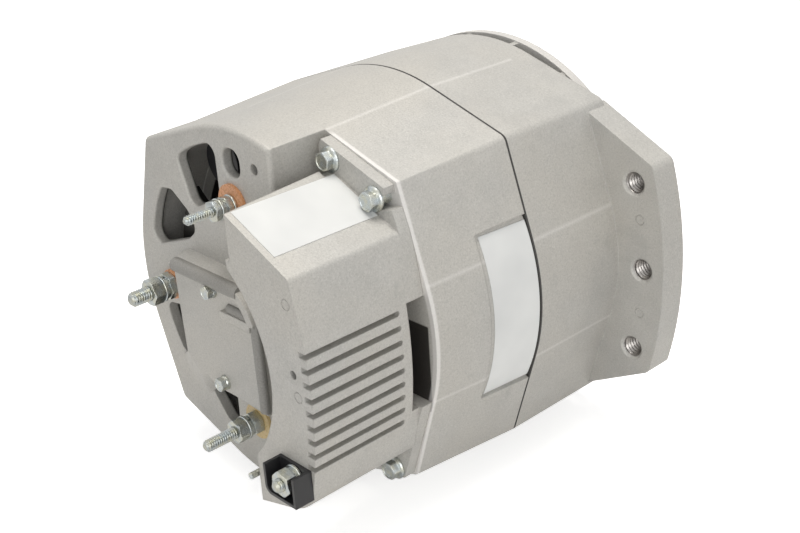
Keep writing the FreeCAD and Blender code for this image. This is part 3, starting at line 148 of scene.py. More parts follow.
class Shader:
    """A material's node tree, with short calls for the nodes that the finishes here use."""

    def __init__(self, name):
        self.material = bpy.data.materials.new(name)
        self.material.use_nodes = True
        self.nodes = self.material.node_tree.nodes
        self.links = self.material.node_tree.links
        self.surface = self.nodes["Principled BSDF"]
        self.place = self.nodes.new("ShaderNodeTexCoord").outputs["Object"]

    def link(self, output, socket):
        """Join a node's output to another's socket."""
        self.links.new(output, socket)

    def noise(self, scale, detail=2.0, roughness=0.5, stretch=(1, 1, 1)):
        """Noise over the object's own coordinates, scale in features per metre."""
        place = self.place
        if stretch != (1, 1, 1):
            mapping = self.nodes.new("ShaderNodeMapping")
            mapping.inputs["Scale"].default_value = stretch
            self.link(place, mapping.inputs["Vector"])
            place = mapping.outputs["Vector"]
        node = self.nodes.new("ShaderNodeTexNoise")
        node.inputs["Scale"].default_value = scale
        node.inputs["Detail"].default_value = detail
        node.inputs["Roughness"].default_value = roughness
        self.link(place, node.inputs["Vector"])
        return node.outputs["Fac"]

    def ramp(self, value, low, high, start=0.0, end=1.0):
        """Map a value from the range start to end onto low to high, clamped."""
        node = self.nodes.new("ShaderNodeMapRange")
        for name, number in (("From Min", start), ("From Max", end), ("To Min", low), ("To Max", high)):
            node.inputs[name].default_value = number
        self.link(value, node.inputs["Value"])
        return node.outputs["Result"]

    def blend(self, factor, first, second):
        """Mix two colours, each a tuple or another node's output."""
        node = self.nodes.new("ShaderNodeMix")
        node.data_type = "RGBA"
        sockets = (node.inputs["Factor"], node.inputs[6], node.inputs[7])
        for socket, given in zip(sockets, (factor, first, second)):
            if isinstance(given, bpy.types.NodeSocket):
                self.link(given, socket)
            elif isinstance(given, tuple):
                socket.default_value = (*given, 1.0)
            else:
                socket.default_value = given
        return node.outputs[2]

    def add(self, first, second, operation="ADD"):
        """Add two values, or join them by another operation."""
        node = self.nodes.new("ShaderNodeMath")
        node.operation = operation
        for socket, given in zip(node.inputs, (first, second)):
            if isinstance(given, bpy.types.NodeSocket):
                self.link(given, socket)
            else:
                socket.default_value = given
        return node.outputs["Value"]

    def times(self, first, second):
        """Multiply two values."""
        return self.add(first, second, "MULTIPLY")

    def along(self, axis):
        """The object's own x, y or z coordinate, in metres."""
        node = self.nodes.new("ShaderNodeSeparateXYZ")
        self.link(self.place, node.inputs["Vector"])
        return node.outputs[axis]

    def reach(self):
        """The distance from the shaft axis, in metres."""
        x, z = self.along("X"), self.along("Z")
        return self.add(self.add(self.times(x, x), self.times(z, z)), 0.5, "POWER")

    def inside(self, value, low, high, soft):
        """1 where a value lies between two limits, falling to 0 over a soft width outside them."""
        above = self.ramp(value, 0, 1, low - soft, low)
        below = self.ramp(value, 1, 0, high, high + soft)
        return self.times(above, below)

    def relief(self, height, strength, distance, edge=None):
        """Bump from a height, over edges softened to a small radius."""
        bump = self.nodes.new("ShaderNodeBump")
        bump.inputs["Strength"].default_value = strength
        bump.inputs["Distance"].default_value = distance
        self.link(height, bump.inputs["Height"])
        if edge is not None:
            soft = self.nodes.new("ShaderNodeBevel")
            soft.samples = 6
            soft.inputs["Radius"].default_value = edge
            self.link(soft.outputs["Normal"], bump.inputs["Normal"])
        self.link(bump.outputs["Normal"], self.surface.inputs["Normal"])

    def set(self, **values):
        """Set or link sockets of the surface: words joined by underscores name the socket."""
        for name, given in values.items():
            socket = self.surface.inputs[name.replace("_", " ").title()]
            if isinstance(given, bpy.types.NodeSocket):
                self.link(given, socket)
            elif isinstance(given, tuple):
                socket.default_value = (*given, 1.0)
            else:
                socket.default_value = given


def cast_aluminium(name, tone=CASTING_TONE, grain=0.5, marks=None):
    """Shot-blasted casting: fine speckle, soft mottling, and painted highlights and shade given by marks."""
    shader = Shader(name)
    speckle = shader.noise(1150, detail=4.0, roughness=0.72)
    mottle = shader.noise(60, detail=4.0, roughness=0.65)
    cloud = shader.noise(17, detail=3.0)
    scuff = shader.noise(26, detail=5.0, roughness=0.7, stretch=(0.5, 1.3, 1.0))
    darker = tuple(0.72 * part for part in tone)
    lighter = tuple(min(1.0, 1.22 * part) for part in tone)
    warmer = (1.01 * tone[0], 0.99 * tone[1], 0.955 * tone[2])
    shaded = tuple(0.88 * part for part in tone)
    scuffed = tuple(0.66 * part for part in tone)
    base = shader.blend(shader.ramp(mottle, 0, 1, 0.32, 0.66), shaded, tone)
    base = shader.blend(shader.ramp(cloud, 0, 0.7, 0.38, 0.62), base, warmer)
    base = shader.blend(shader.ramp(scuff, 0, 0.45, 0.60, 0.72), base, scuffed)
    dark = shader.blend(shader.ramp(speckle, 0.6, 0.0, 0.36, 0.48), base, darker)
    colour = shader.blend(shader.ramp(speckle, 0.0, 0.55, 0.54, 0.66), dark, lighter)
    # Marks paint highlights and shade into the colour.
    if marks is not None:
        colour = marks(shader, colour)
    shader.set(base_color=colour, metallic=0.22, roughness=shader.ramp(mottle, 0.44, 0.58, 0.3, 0.7))
    shader.relief(shader.add(speckle, shader.ramp(mottle, 0, 0.6)), grain, 0.00035, edge=0.0009)
    return shader.material


def barrel_painted_light(shader, colour):
    """Painted highlights on the creases where the barrel's round flanks turn into its straight sides, and
    painted shade in the parting's seam.
    """
    x, y, z = (shader.along(axis) for axis in "XYZ")
    outside = shader.ramp(shader.reach(), 0, 1, 86 * MM, 89 * MM)
    angle = shader.add(z, x, "ARCTAN2")
    turned = shader.add(shader.add(angle, math.pi / 2 + math.tau), math.pi / 2, "MODULO")
    from_corner = shader.add(shader.add(turned, math.pi / 4, "SUBTRACT"), 0.0, "ABSOLUTE")
    off_crease = shader.add(shader.add(from_corner, math.pi / 4 - BARREL_ARC, "SUBTRACT"), 0.0, "ABSOLUTE")
    # Painted highlight: a bright band along each crease of the barrel.
    crease_highlight = shader.times(shader.ramp(off_crease, 0.28, 0.0, 0.0, CREASE_HIGHLIGHT_WIDTH / BARREL_RADIUS), outside)
    barrel = shader.inside(y, SHOULDER + 1 * MM, FLANGE_REAR - 1 * MM, 1 * MM)
    lit = shader.blend(shader.times(crease_highlight, barrel), colour, CREASE_HIGHLIGHT_TONE)
    # Painted shade in the groove along the parting.
    seam_shade = shader.inside(y, PARTING - 0.5 * MM, PARTING + 0.5 * MM, 0.2 * MM)
    return shader.blend(shader.times(seam_shade, outside), lit, SEAM_SHADE_TONE)


def drive_end_painted_light(shader, colour):
    """The barrel's painted highlights and shade, painted shade in the fan room behind the exhaust slots and
    a painted highlight on the front rim.
    """
    colour = barrel_painted_light(shader, colour)
    y, reach = shader.along("Y"), shader.reach()
    # Painted shade in the fan room behind the exhaust slots.
    within = shader.ramp(reach, 0.92, 0, FAN_ROOM_RADIUS, FAN_ROOM_RADIUS + 0.8 * MM)
    room_shade = shader.times(shader.inside(y, *FAN_ROOM, 1.5 * MM), within)
    colour = shader.blend(room_shade, colour, ROOM_SHADE_TONE)
    # Painted highlight on the drive end's front rim.
    front = shader.ramp(y, 0, 0.35, -10 * MM, -9.3 * MM)
    rim_highlight = shader.times(front, shader.ramp(reach, 0, 1, 90 * MM, 91 * MM))
    return shader.blend(rim_highlight, colour, EDGE_HIGHLIGHT_TONE)


def rear_painted_light(shader, colour):
    """The barrel's painted highlights and shade, painted shade in the inner rooms and in the hollow behind
    the shoulder's window, and a painted highlight along the shoulder's lip.
    """
    colour = barrel_painted_light(shader, colour)
    x, y, z = (shader.along(axis) for axis in "XYZ")
    reach = shader.reach()
    # Painted shade in the rear room and the barrel's room inside the casting.
    within = shader.ramp(reach, 0.94, 0, REAR_ROOM_RADIUS, REAR_ROOM_RADIUS + 0.8 * MM)
    rear_room = shader.times(shader.inside(y, *REAR_ROOM, 1.2 * MM),
                             shader.ramp(x, 1, 0, REAR_ROOM_SIDE, REAR_ROOM_SIDE + 0.9 * MM))
    barrel_room = shader.inside(y, SHOULDER + 0.6 * MM, PARTING - 1 * MM, 0.5 * MM)
    room_shade = shader.times(shader.add(rear_room, barrel_room, "MAXIMUM"), within)
    colour = shader.blend(room_shade, colour, ROOM_SHADE_TONE)
    # Painted shade in the hollow behind the shoulder's window.
    behind = shader.inside(y, SHOULDER - 0.5 * MM, SHOULDER + 0.4 * MM, 0.1 * MM)
    across = shader.inside(x, *SHOULDER_WINDOW_X, 0.8 * MM)
    upright = shader.inside(z, *SHOULDER_WINDOW_Z, 0.8 * MM)
    colour = shader.blend(shader.times(shader.times(behind, across), upright), colour, HOLLOW_SHADE_TONE)
    # Painted highlight along the shoulder's lip beside the regulator.
    lip_highlight = shader.inside(y, SHOULDER + 0.1 * MM, SHOULDER + 1.5 * MM, 0.9 * MM)
    beside = shader.times(shader.ramp(reach, 0, 1, 90 * MM, 91 * MM),
                          shader.ramp(x, 0, 0.55, 30 * MM, 34 * MM))
    return shader.blend(shader.times(lip_highlight, beside), colour, EDGE_HIGHLIGHT_TONE)


def zinc(name, tone=(0.52, 0.54, 0.52), edge=0.25 * MM):
    """Bright zinc plate with a faint blue and yellow passivation."""
    shader = Shader(name)
    cloud = shader.noise(260, detail=2.0)
    tint = shader.blend(shader.ramp(cloud, 0, 1, 0.40, 0.60), (0.48, 0.54, 0.58), (0.60, 0.59, 0.47))
    colour = shader.blend(0.45, tone, tint)
    fine = shader.noise(2400, detail=2.0)
    shader.set(base_color=colour, metallic=1.0, roughness=shader.ramp(fine, 0.24, 0.38, 0.35, 0.65))
    shader.relief(fine, 0.10, 0.0002, edge=edge)
    return shader.material


def turned_steel(name, tone, roughness=0.3):
    """Steel with fine turning lines across the shaft."""
    shader = Shader(name)
    lines = shader.noise(2600, detail=2.0, stretch=(0.05, 1.0, 0.05))
    colour = shader.blend(shader.ramp(lines, 0, 1, 0.35, 0.65), tuple(0.85 * part for part in tone), tone)
    shader.set(base_color=colour, metallic=1.0, roughness=roughness)
    shader.relief(lines, 0.15, 0.0002, edge=0.0003)
    return shader.material


def painted(name, tone, roughness=0.45, metallic=0.0, grain=0.12, scale=900):
    """A moulded, painted or resin surface with fine unevenness."""
    shader = Shader(name)
    fine = shader.noise(scale, detail=2.0)
    broad = shader.noise(70, detail=2.0)
    colour = shader.blend(shader.ramp(broad, 0, 1, 0.3, 0.7), tuple(0.85 * part for part in tone), tone)
    rough = shader.ramp(fine, roughness - 0.05, roughness + 0.05, 0.3, 0.7)
    shader.set(base_color=colour, metallic=metallic, roughness=rough)
    shader.relief(fine, grain, 0.0002, edge=0.0003)
    return shader.material


def lamination(name):
    """A stack of thin sheets: dark lines across the shaft."""
    shader = Shader(name)
    sheets = shader.noise(1500, detail=1.0, stretch=(0.01, 1.0, 0.01))
    colour = shader.blend(shader.ramp(sheets, 0, 1, 0.4, 0.6), (0.16, 0.16, 0.17), (0.36, 0.36, 0.37))
    shader.set(base_color=colour, metallic=0.9, roughness=0.45)
    shader.relief(sheets, 0.4, 0.0003)
    return shader.material


def enamelled_copper(name):
    """Wound copper wire: darker and lighter strands under a clear enamel."""
    shader = Shader(name)
    strands = shader.noise(700, detail=2.0)
    colour = shader.blend(shader.ramp(strands, 0, 1, 0.35, 0.65), (0.32, 0.11, 0.04), (0.66, 0.28, 0.12))
    shader.set(base_color=colour, metallic=0.7, roughness=0.32)
    shader.relief(strands, 0.3, 0.0003)
    return shader.material


def label_plate(name):
    """A blank white label: satin film with the faintest unevenness."""
    shader = Shader(name)
    broad = shader.noise(40, detail=2.0)
    colour = shader.blend(shader.ramp(broad, 0, 1, 0.3, 0.7), (0.64, 0.65, 0.645), (0.71, 0.72, 0.71))
    shader.set(base_color=colour, roughness=0.35)
    shader.relief(broad, 0.05, 0.0005)
    return shader.material


FINISHES = {
    "cast_aluminium": cast_aluminium("sand_cast_aluminium"),
    "zinc_steel": zinc("zinc_plate"),
    # Painted shade: the studs' threads take a darker copy of the zinc plate.
    "zinc_thread": zinc("shaded_zinc_plated_thread", (0.36, 0.37, 0.35), None),
    "spring_steel": turned_steel("spring_steel", (0.5, 0.5, 0.5)),
    "bearing_steel": turned_steel("bearing_steel", (0.6, 0.6, 0.62), 0.18),
    "shaft_steel": turned_steel("turned_shaft_steel", (0.55, 0.55, 0.55)),
    "pole_iron": painted("varnished_pole_iron", (0.14, 0.13, 0.12), 0.45, 0.6, 0.25),
    "lamination": lamination("stator_sheets"),
    "fan_steel": painted("black_satin_paint", (0.035, 0.035, 0.038), 0.4),
    "copper_wire": enamelled_copper("enamelled_wire"),
    "copper": turned_steel("copper_rings", (0.72, 0.36, 0.2), 0.25),
    "black_plastic": painted("moulded_black_plastic", (0.018, 0.018, 0.02), 0.34, 0.0, 0.1, 1400),
    "orange_insulator": painted("orange_insulator", (0.64, 0.31, 0.15), 0.28, 0.15),
    "tan_insulator": painted("tan_insulator", (0.62, 0.47, 0.23), 0.3),
    "potting": painted("potting_resin", (0.03, 0.03, 0.03), 0.3),
    "carbon": painted("pressed_carbon", (0.04, 0.04, 0.042), 0.5),
    "heat_sink": painted("black_heat_sink", (0.035, 0.033, 0.030), 0.35, 0.4),
}
NODE_FINISHES = {
    "rear_housing": cast_aluminium("rear_casting", marks=rear_painted_light),
    "drive_end_housing": cast_aluminium("drive_end_casting", marks=drive_end_painted_light),
}
LABEL = label_plate("blank_label_film")
THREAD_METAL = turned_steel("tapped_thread", (0.42, 0.40, 0.38), 0.30)


def dress_frame():
    """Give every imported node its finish, welded and split at its edges so that round faces shade round."""
    slots = {row["node"]: row["material_slot"] for row in frame["record"]["subparts"]}
    for node, item in frame["nodes"].items():
        item.data.materials.clear()
        item.data.materials.append(NODE_FINISHES.get(node, FINISHES[slots[node]]))
        item.data.shade_smooth()
        weld = item.modifiers.new("weld", "WELD")
        weld.merge_threshold = 0.000002
        split = item.modifiers.new("split", "EDGE_SPLIT")
        split.split_angle = math.radians(32)


def new_object(name, data):
    """A scene object for a mesh, a lamp or a camera."""
    item = bpy.data.objects.new(name, data)
    bpy.context.scene.collection.objects.link(item)
    return item


def spots(places, level):
    """Points at one level along the shaft, with the turn of the piece on each."""
    return [(Vector((x * MM, level, z * MM)), turned) for x, z, turned in places]


def piece_from_rings(name, rings, closed=False):
    """A mesh from rings of points: neighbours are joined by quads, and open ends get a cap."""
    count = len(rings[0])
    points = [point for ring in rings for point in ring]
    faces = []
    steps = len(rings) if closed else len(rings) - 1
    for step in range(steps):
        low, high = step * count, (step + 1) % len(rings) * count
        for turn in range(count):
            after = (turn + 1) % count
            faces.append((low + turn, low + after, high + after, high + turn))
    if not closed:
        faces.append(tuple(reversed(range(count))))
        faces.append(tuple(range(len(points) - count, len(points))))
    mesh = bpy.data.meshes.new(name)
    mesh.from_pydata(points, [], faces)
    mesh.update()
    return new_object(name, mesh)


def finish_piece(item, body, material, slot, *nodes, angle=32):
    """Point the faces outward, shade round faces smooth, and seat the piece on its body."""
    bpy.context.view_layer.objects.active = item
    for other in bpy.context.selected_objects:
        other.select_set(False)
    item.select_set(True)
    bpy.ops.object.mode_set(mode="EDIT")
    bpy.ops.mesh.select_all(action="SELECT")
    bpy.ops.mesh.remove_doubles(threshold=0.0000005)
    bpy.ops.mesh.normals_make_consistent(inside=False)
    bpy.ops.object.mode_set(mode="OBJECT")
    item.data.shade_smooth()
    split = item.modifiers.new("split", "EDGE_SPLIT")
    split.split_angle = math.radians(angle)
    item.data.materials.clear()
    item.data.materials.append(material)
    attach(item, body)
    if nodes:
        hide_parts(*nodes)


def join(name, items):
    """Join several pieces into one object."""
    for other in bpy.context.selected_objects:
        other.select_set(False)
    for item in items:
        item.select_set(True)
    bpy.context.view_layer.objects.active = items[0]
    bpy.ops.object.join()
    items[0].name = name
    items[0].data.name = name
    return items[0]


def circle_points(x, z, radius, level, count, phase=0.0):
    """Points of a circle across the shaft, or of any outline given by a radius over the angle."""
    points = []
    for step in range(count):
        angle = phase + math.tau * step / count
        reach = radius(angle - phase) if callable(radius) else radius
        points.append(Vector((x + reach * math.cos(angle), level, z + reach * math.sin(angle))))
    return points


def hexagon_reach(flats, rounding=0.03):
    """The radius of a hexagon over the angle, its corners blunted a little."""
    def reach(angle):
        turned = (angle + math.pi / 6) % (math.pi / 3) - math.pi / 6
        return min(flats / 2 / math.cos(turned), flats / 2 / math.cos(math.pi / 6) * (1 - rounding))
    return reach


def threaded_rod(name, x, z, root, major, pitch, tip, end):
    """A rod along the shaft with a helical thread, from its bevelled tip at the lower level to its end."""
    around = 28
    levels = int((end - tip) / pitch * RINGS_PER_THREAD)
    rings = []
    for step in range(levels + 1):
        level = tip + (end - tip) * step / levels
        ring = []
        for turn in range(around):
            angle = math.tau * turn / around
            phase = (level / pitch - turn / around) % 1.0
            height = min(1.0, max(0.0, 1.25 * (1 - abs(2 * phase - 1)) - 0.12))
            reach = root + (major - root) * height
            reach = min(reach, root - pitch * 0.5 + (level - tip) * 1.1)
            ring.append(Vector((x + reach * math.cos(angle), level, z + reach * math.sin(angle))))
        rings.append(ring)
    return piece_from_rings(name, rings)


def hex_nut(name, x, z, flats, bore, low, high, phase):
    """A hexagonal nut: both faces turned to a cone, so that each flat ends in an arc."""
    around = 60
    reach = hexagon_reach(flats)
    crown = flats / 2 * 0.96
    fall = math.tan(math.radians(30))
    rings = []
    for radius, level, side in (
            (bore, low + 0.4 * MM, 0), (bore + 0.4 * MM, low, 0), (crown, low, 0), (reach, low, 1),
            (reach, high, -1), (crown, high, 0), (bore + 0.4 * MM, high, 0), (bore, high - 0.4 * MM, 0)):
        ring = circle_points(x, z, radius, level, around, phase)
        if side:
            for point in ring:
                out = math.hypot(point.x - x, point.z - z)
                point.y += side * max(0.0, out - crown) * fall
        rings.append(ring)
    return piece_from_rings(name, rings, closed=True)


def flat_washer(name, x, z, outer, inner, low, high):
    """A washer with a bevelled outer edge."""
    edge = (high - low) * 0.22
    rings = [circle_points(x, z, radius, level, 44) for radius, level in (
        (inner, low), (outer - edge, low), (outer, low + edge), (outer, high - edge), (outer - edge, high),
        (inner, high))]
    return piece_from_rings(name, rings, closed=True)


def lock_washer(name, x, z, outer, inner, low, high, gap_angle):
    """A split spring washer: one turn of square wire, its cut ends a little apart."""
    steps = 46
    gap = math.radians(9)
    lift = (high - low) * 0.22
    depth = (high - low) - lift
    rings = []
    for step in range(steps + 1):
        share = step / steps
        angle = gap_angle + gap / 2 + share * (math.tau - gap)
        base = low + lift * share
        ring = []
        for radius, level in ((inner, base), (outer, base), (outer, base + depth), (inner, base + depth)):
            ring.append(Vector((x + radius * math.cos(angle), level, z + radius * math.sin(angle))))
        rings.append(ring)
    return piece_from_rings(name, rings)


def hex_head(name, flats, head, flange_radius, flange, shank_radius, shank_end):
    """A hexagon head with a dished crown over a washer flange seated at the origin, on a plain shank."""
    around = 60
    reach = hexagon_reach(flats, 0.04)
    crown = flats / 2 * 0.93
    fall = math.tan(math.radians(30))
    top = -flange - head
    rings = []
    for radius, level in (
            (crown * 0.5, top + 0.5 * MM), (crown * 0.82, top + 0.35 * MM), (crown * 0.9, top), (crown, top),
            (reach, top), (reach, -flange - 0.3 * MM), (flange_radius * 0.93, 0.15 * MM - flange),
            (flange_radius, -flange * 0.5), (flange_radius, 0), (shank_radius, 0),
            (shank_radius, shank_end)):
        ring = circle_points(0, 0, radius, level, around)
        if radius is reach and level == top:
            for point in ring:
                point.y += max(0.0, math.hypot(point.x, point.z) - crown) * fall
        rings.append(ring)
    return piece_from_rings(name, rings)


# Each terminal, in mm: thread radius and pitch, hexagon across flats, nut height, its stack from the housing
# outward, and how its hexagons are turned.
TERMINALS = {
    "output": (3.97, 1.41, 12.7, 6.5, ("jam", "lock", "washer", "nut"), 0.35),
    "ground": (3.18, 1.27, 11.1, 5.6, ("nut", "lock", "washer", "nut"), 0.1),
    "relay": (2.41, 1.27, 9.5, 3.3, ("washer", "nut", "lock", "washer", "nut"), 0.3),
}
THREAD_SHARE = 0.66
RINGS_PER_THREAD = 7
THICKNESS = {"jam": 4.4, "washer": 1.5, "lock": 1.8}
INSULATOR_FLANGE = 1.6
FIELD_STUD_RADIUS, FIELD_PITCH, FIELD_FLATS = 3.18, 1.27, 11.1
FIELD_WASHER = 1.5


def middle_of(node):
    """The centre of a node's box across the shaft."""
    low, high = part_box(node)
    return (low.x + high.x) / 2, (low.z + high.z) / 2


def stud(name, x, z, radius, pitch):
    """A threaded rod in the place of a terminal's plain one, as long as that is."""
    low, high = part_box(f"{name}_stud")
    root = radius - THREAD_SHARE * pitch
    rod = threaded_rod(f"{name}_threaded_stud", x, z, root, radius - 0.02 * MM, pitch, low.y, high.y)
    finish_piece(rod, "housing", FINISHES["zinc_thread"], "zinc_steel", f"{name}_stud", angle=60)


def terminals():
    """Threaded studs with chamfered nuts, flat washers and split washers."""
    zinc_plate = FINISHES["zinc_steel"]
    for name, (radius, pitch, flats, nut, stack, phase) in TERMINALS.items():
        x, z = middle_of(f"{name}_stud")
        radius, pitch, flats = radius * MM, pitch * MM, flats * MM
        level = REAR_FACE - INSULATOR_FLANGE * MM
        nuts, washers = [], []
        for number, kind in enumerate(stack):
            low = level - THICKNESS.get(kind, nut) * MM
            label = f"{name}_{kind}_{number}"
            if kind in ("nut", "jam"):
                nuts.append(hex_nut(label, x, z, flats, radius - 0.3 * MM, low, level, phase + 0.4 * number))
            elif kind == "washer":
                washers.append(flat_washer(label, x, z, flats / 2 + 0.6 * MM, radius + 0.3 * MM, low, level))
            else:
                washers.append(lock_washer(label, x, z, flats / 2 - 0.3 * MM, radius + 0.2 * MM, low, level,
                                           phase + number))
            level = low
        finish_piece(join(f"{name}_chamfered_nuts", nuts), "housing", zinc_plate, "zinc_steel",
                     f"{name}_nuts")
        finish_piece(join(f"{name}_split_washers", washers), "housing", zinc_plate, "zinc_steel",
                     f"{name}_washers")
        stud(name, x, z, radius, pitch)


def field_terminal():
    """The regulator's own stud behind its black shield."""
    zinc_plate = FINISHES["zinc_steel"]
    x, z = middle_of("field_stud")
    radius, flats = FIELD_STUD_RADIUS * MM, FIELD_FLATS * MM
    low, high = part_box("field_nut")
    nut = hex_nut("field_chamfered_nut", x, z, flats, radius - 0.3 * MM, low.y, high.y, 0.25)
    finish_piece(nut, "housing", zinc_plate, "zinc_steel", "field_nut")
    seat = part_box("field_washers")[1].y
    top = seat - FIELD_WASHER * MM
    washer = flat_washer("field_flat", x, z, flats / 2 + 0.6 * MM, radius + 0.2 * MM, top, seat)
    lock = lock_washer("field_lock", x, z, flats / 2 - 0.3 * MM, radius + 0.2 * MM, high.y, top, 2.2)
    finish_piece(join("field_split_washers", [washer, lock]), "housing", zinc_plate, "zinc_steel",
                 "field_washers")
    stud("field", x, z, radius, FIELD_PITCH * MM)


def placing_tree(name):
    """A tree that sets one piece on every point of a mesh, each turned by its own angle about the shaft."""
    tree = bpy.data.node_groups.new(name, "GeometryNodeTree")
    for label, kind in (("Places", "NodeSocketGeometry"), ("Piece", "NodeSocketObject"),
                        ("Finish", "NodeSocketMaterial")):
        tree.interface.new_socket(label, in_out="INPUT", socket_type=kind)
    tree.interface.new_socket("Pieces", in_out="OUTPUT", socket_type="NodeSocketGeometry")
    given = tree.nodes.new("NodeGroupInput")
    result = tree.nodes.new("NodeGroupOutput")
    turn = tree.nodes.new("GeometryNodeInputNamedAttribute")
    turn.data_type = "FLOAT"
    turn.inputs["Name"].default_value = "turn"
    about = tree.nodes.new("ShaderNodeCombineXYZ")
    info = tree.nodes.new("GeometryNodeObjectInfo")
    set_on = tree.nodes.new("GeometryNodeInstanceOnPoints")
    real = tree.nodes.new("GeometryNodeRealizeInstances")
    paint = tree.nodes.new("GeometryNodeSetMaterial")
    for output, socket in (
            (given.outputs["Places"], set_on.inputs["Points"]),
            (given.outputs["Piece"], info.inputs["Object"]),
            (info.outputs["Geometry"], set_on.inputs["Instance"]),
            (turn.outputs["Attribute"], about.inputs["Y"]),
            (about.outputs["Vector"], set_on.inputs["Rotation"]),
            (set_on.outputs["Instances"], real.inputs["Geometry"]),
            (real.outputs["Geometry"], paint.inputs["Geometry"]),
            (given.outputs["Finish"], paint.inputs["Material"]),
            (paint.outputs["Geometry"], result.inputs["Pieces"])):
        tree.links.new(output, socket)
    return tree


def mesh_of(item, name):
    """Turn an object with its modifiers into a plain one, and drop the one it came from."""
    evaluated = item.evaluated_get(bpy.context.evaluated_depsgraph_get())
    mesh = bpy.data.meshes.new_from_object(evaluated)
    mesh.name = name
    bpy.data.objects.remove(item)
    return new_object(name, mesh)


def grow(name, mesh, tree, given):
    """Put a tree on a mesh, fill the tree's named inputs, and keep the result as a plain piece."""
    carrier = new_object(f"{name}_carrier", mesh)
    modifier = carrier.modifiers.new("tree", "NODES")
    modifier.node_group = tree
    names = {item.name: item.identifier for item in tree.interface.items_tree if item.in_out == "INPUT"}
    for label, value in given.items():
        modifier[names[label]] = value
    return mesh_of(carrier, name)


def set_on_places(name, piece, places, material):
    """Repeat a piece made at the origin on a list of (place, turn), and drop the original."""
    points = bpy.data.meshes.new(f"{name}_places")
    points.from_pydata([place for place, angle in places], [], [])
    turns = points.attributes.new("turn", "FLOAT", "POINT")
    for entry, (place, angle) in zip(turns.data, places):
        entry.value = angle
    tree = placing_tree(f"{name}_on_places")
    placed = grow(name, points, tree, {"Piece": piece, "Finish": material})
    bpy.data.objects.remove(piece)
    return placed


def screws():
    """Flanged hexagon heads: the regulator's three bolts and the brush holder's two screws."""
    zinc_plate = FINISHES["zinc_steel"]
    for name, node, places, flats, head, flange_radius, flange, shank in (
            ("flanged_regulator_bolts", "regulator_bolts", REGULATOR_BOLTS, 8.4, 4, 6, 1.5, 3.1),
            ("flanged_brush_screws", "brush_holder_screws", BRUSH_SCREWS, 6.35, 3.2, 3.8, 1.5, 2)):
        low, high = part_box(node)
        seat = low.y + (head + flange) * MM
        piece = hex_head("head", flats * MM, head * MM, flange_radius * MM, flange * MM, shank * MM,
                         high.y - seat)
        placed = set_on_places(name, piece, spots(places, seat), zinc_plate)
        finish_piece(placed, "housing", zinc_plate, "zinc_steel", node)


def flange_threads():
    """A helical thread's crests in each of the flange's three holes."""
    low, high = FLANGE_REAR + THREAD_INSET, FLANGE_FRONT - THREAD_INSET
    around = 40
    steps = int((high - low) / THREAD_PITCH * 8)
    rings = []
    for step in range(steps + 1):
        level = low + (high - low) * step / steps
        ring = []
        for turn in range(around):
            phase = (level / THREAD_PITCH + turn / around) % 1.0
            height = min(1.0, max(0.0, 1.3 * (1 - abs(2 * phase - 1)) - 0.15))
            fade = min(1.0, (level - low) / THREAD_PITCH, (high - level) / THREAD_PITCH)
            radius = TAP_RADIUS - 0.08 * MM - THREAD_DEPTH * height * fade
            angle = math.tau * turn / around
            ring.append(Vector((radius * math.cos(angle), level, radius * math.sin(angle))))
        rings.append(ring)
    for level in (high, low):
        rings.append(circle_points(0, 0, TAP_RADIUS - 0.03 * MM, level, around))
    crest = piece_from_rings("crest", rings, closed=True)
    threads = set_on_places("flange_hole_threads", crest, spots(FLANGE_HOLES, 0), THREAD_METAL)
    finish_piece(threads, "housing", THREAD_METAL, None, angle=50)


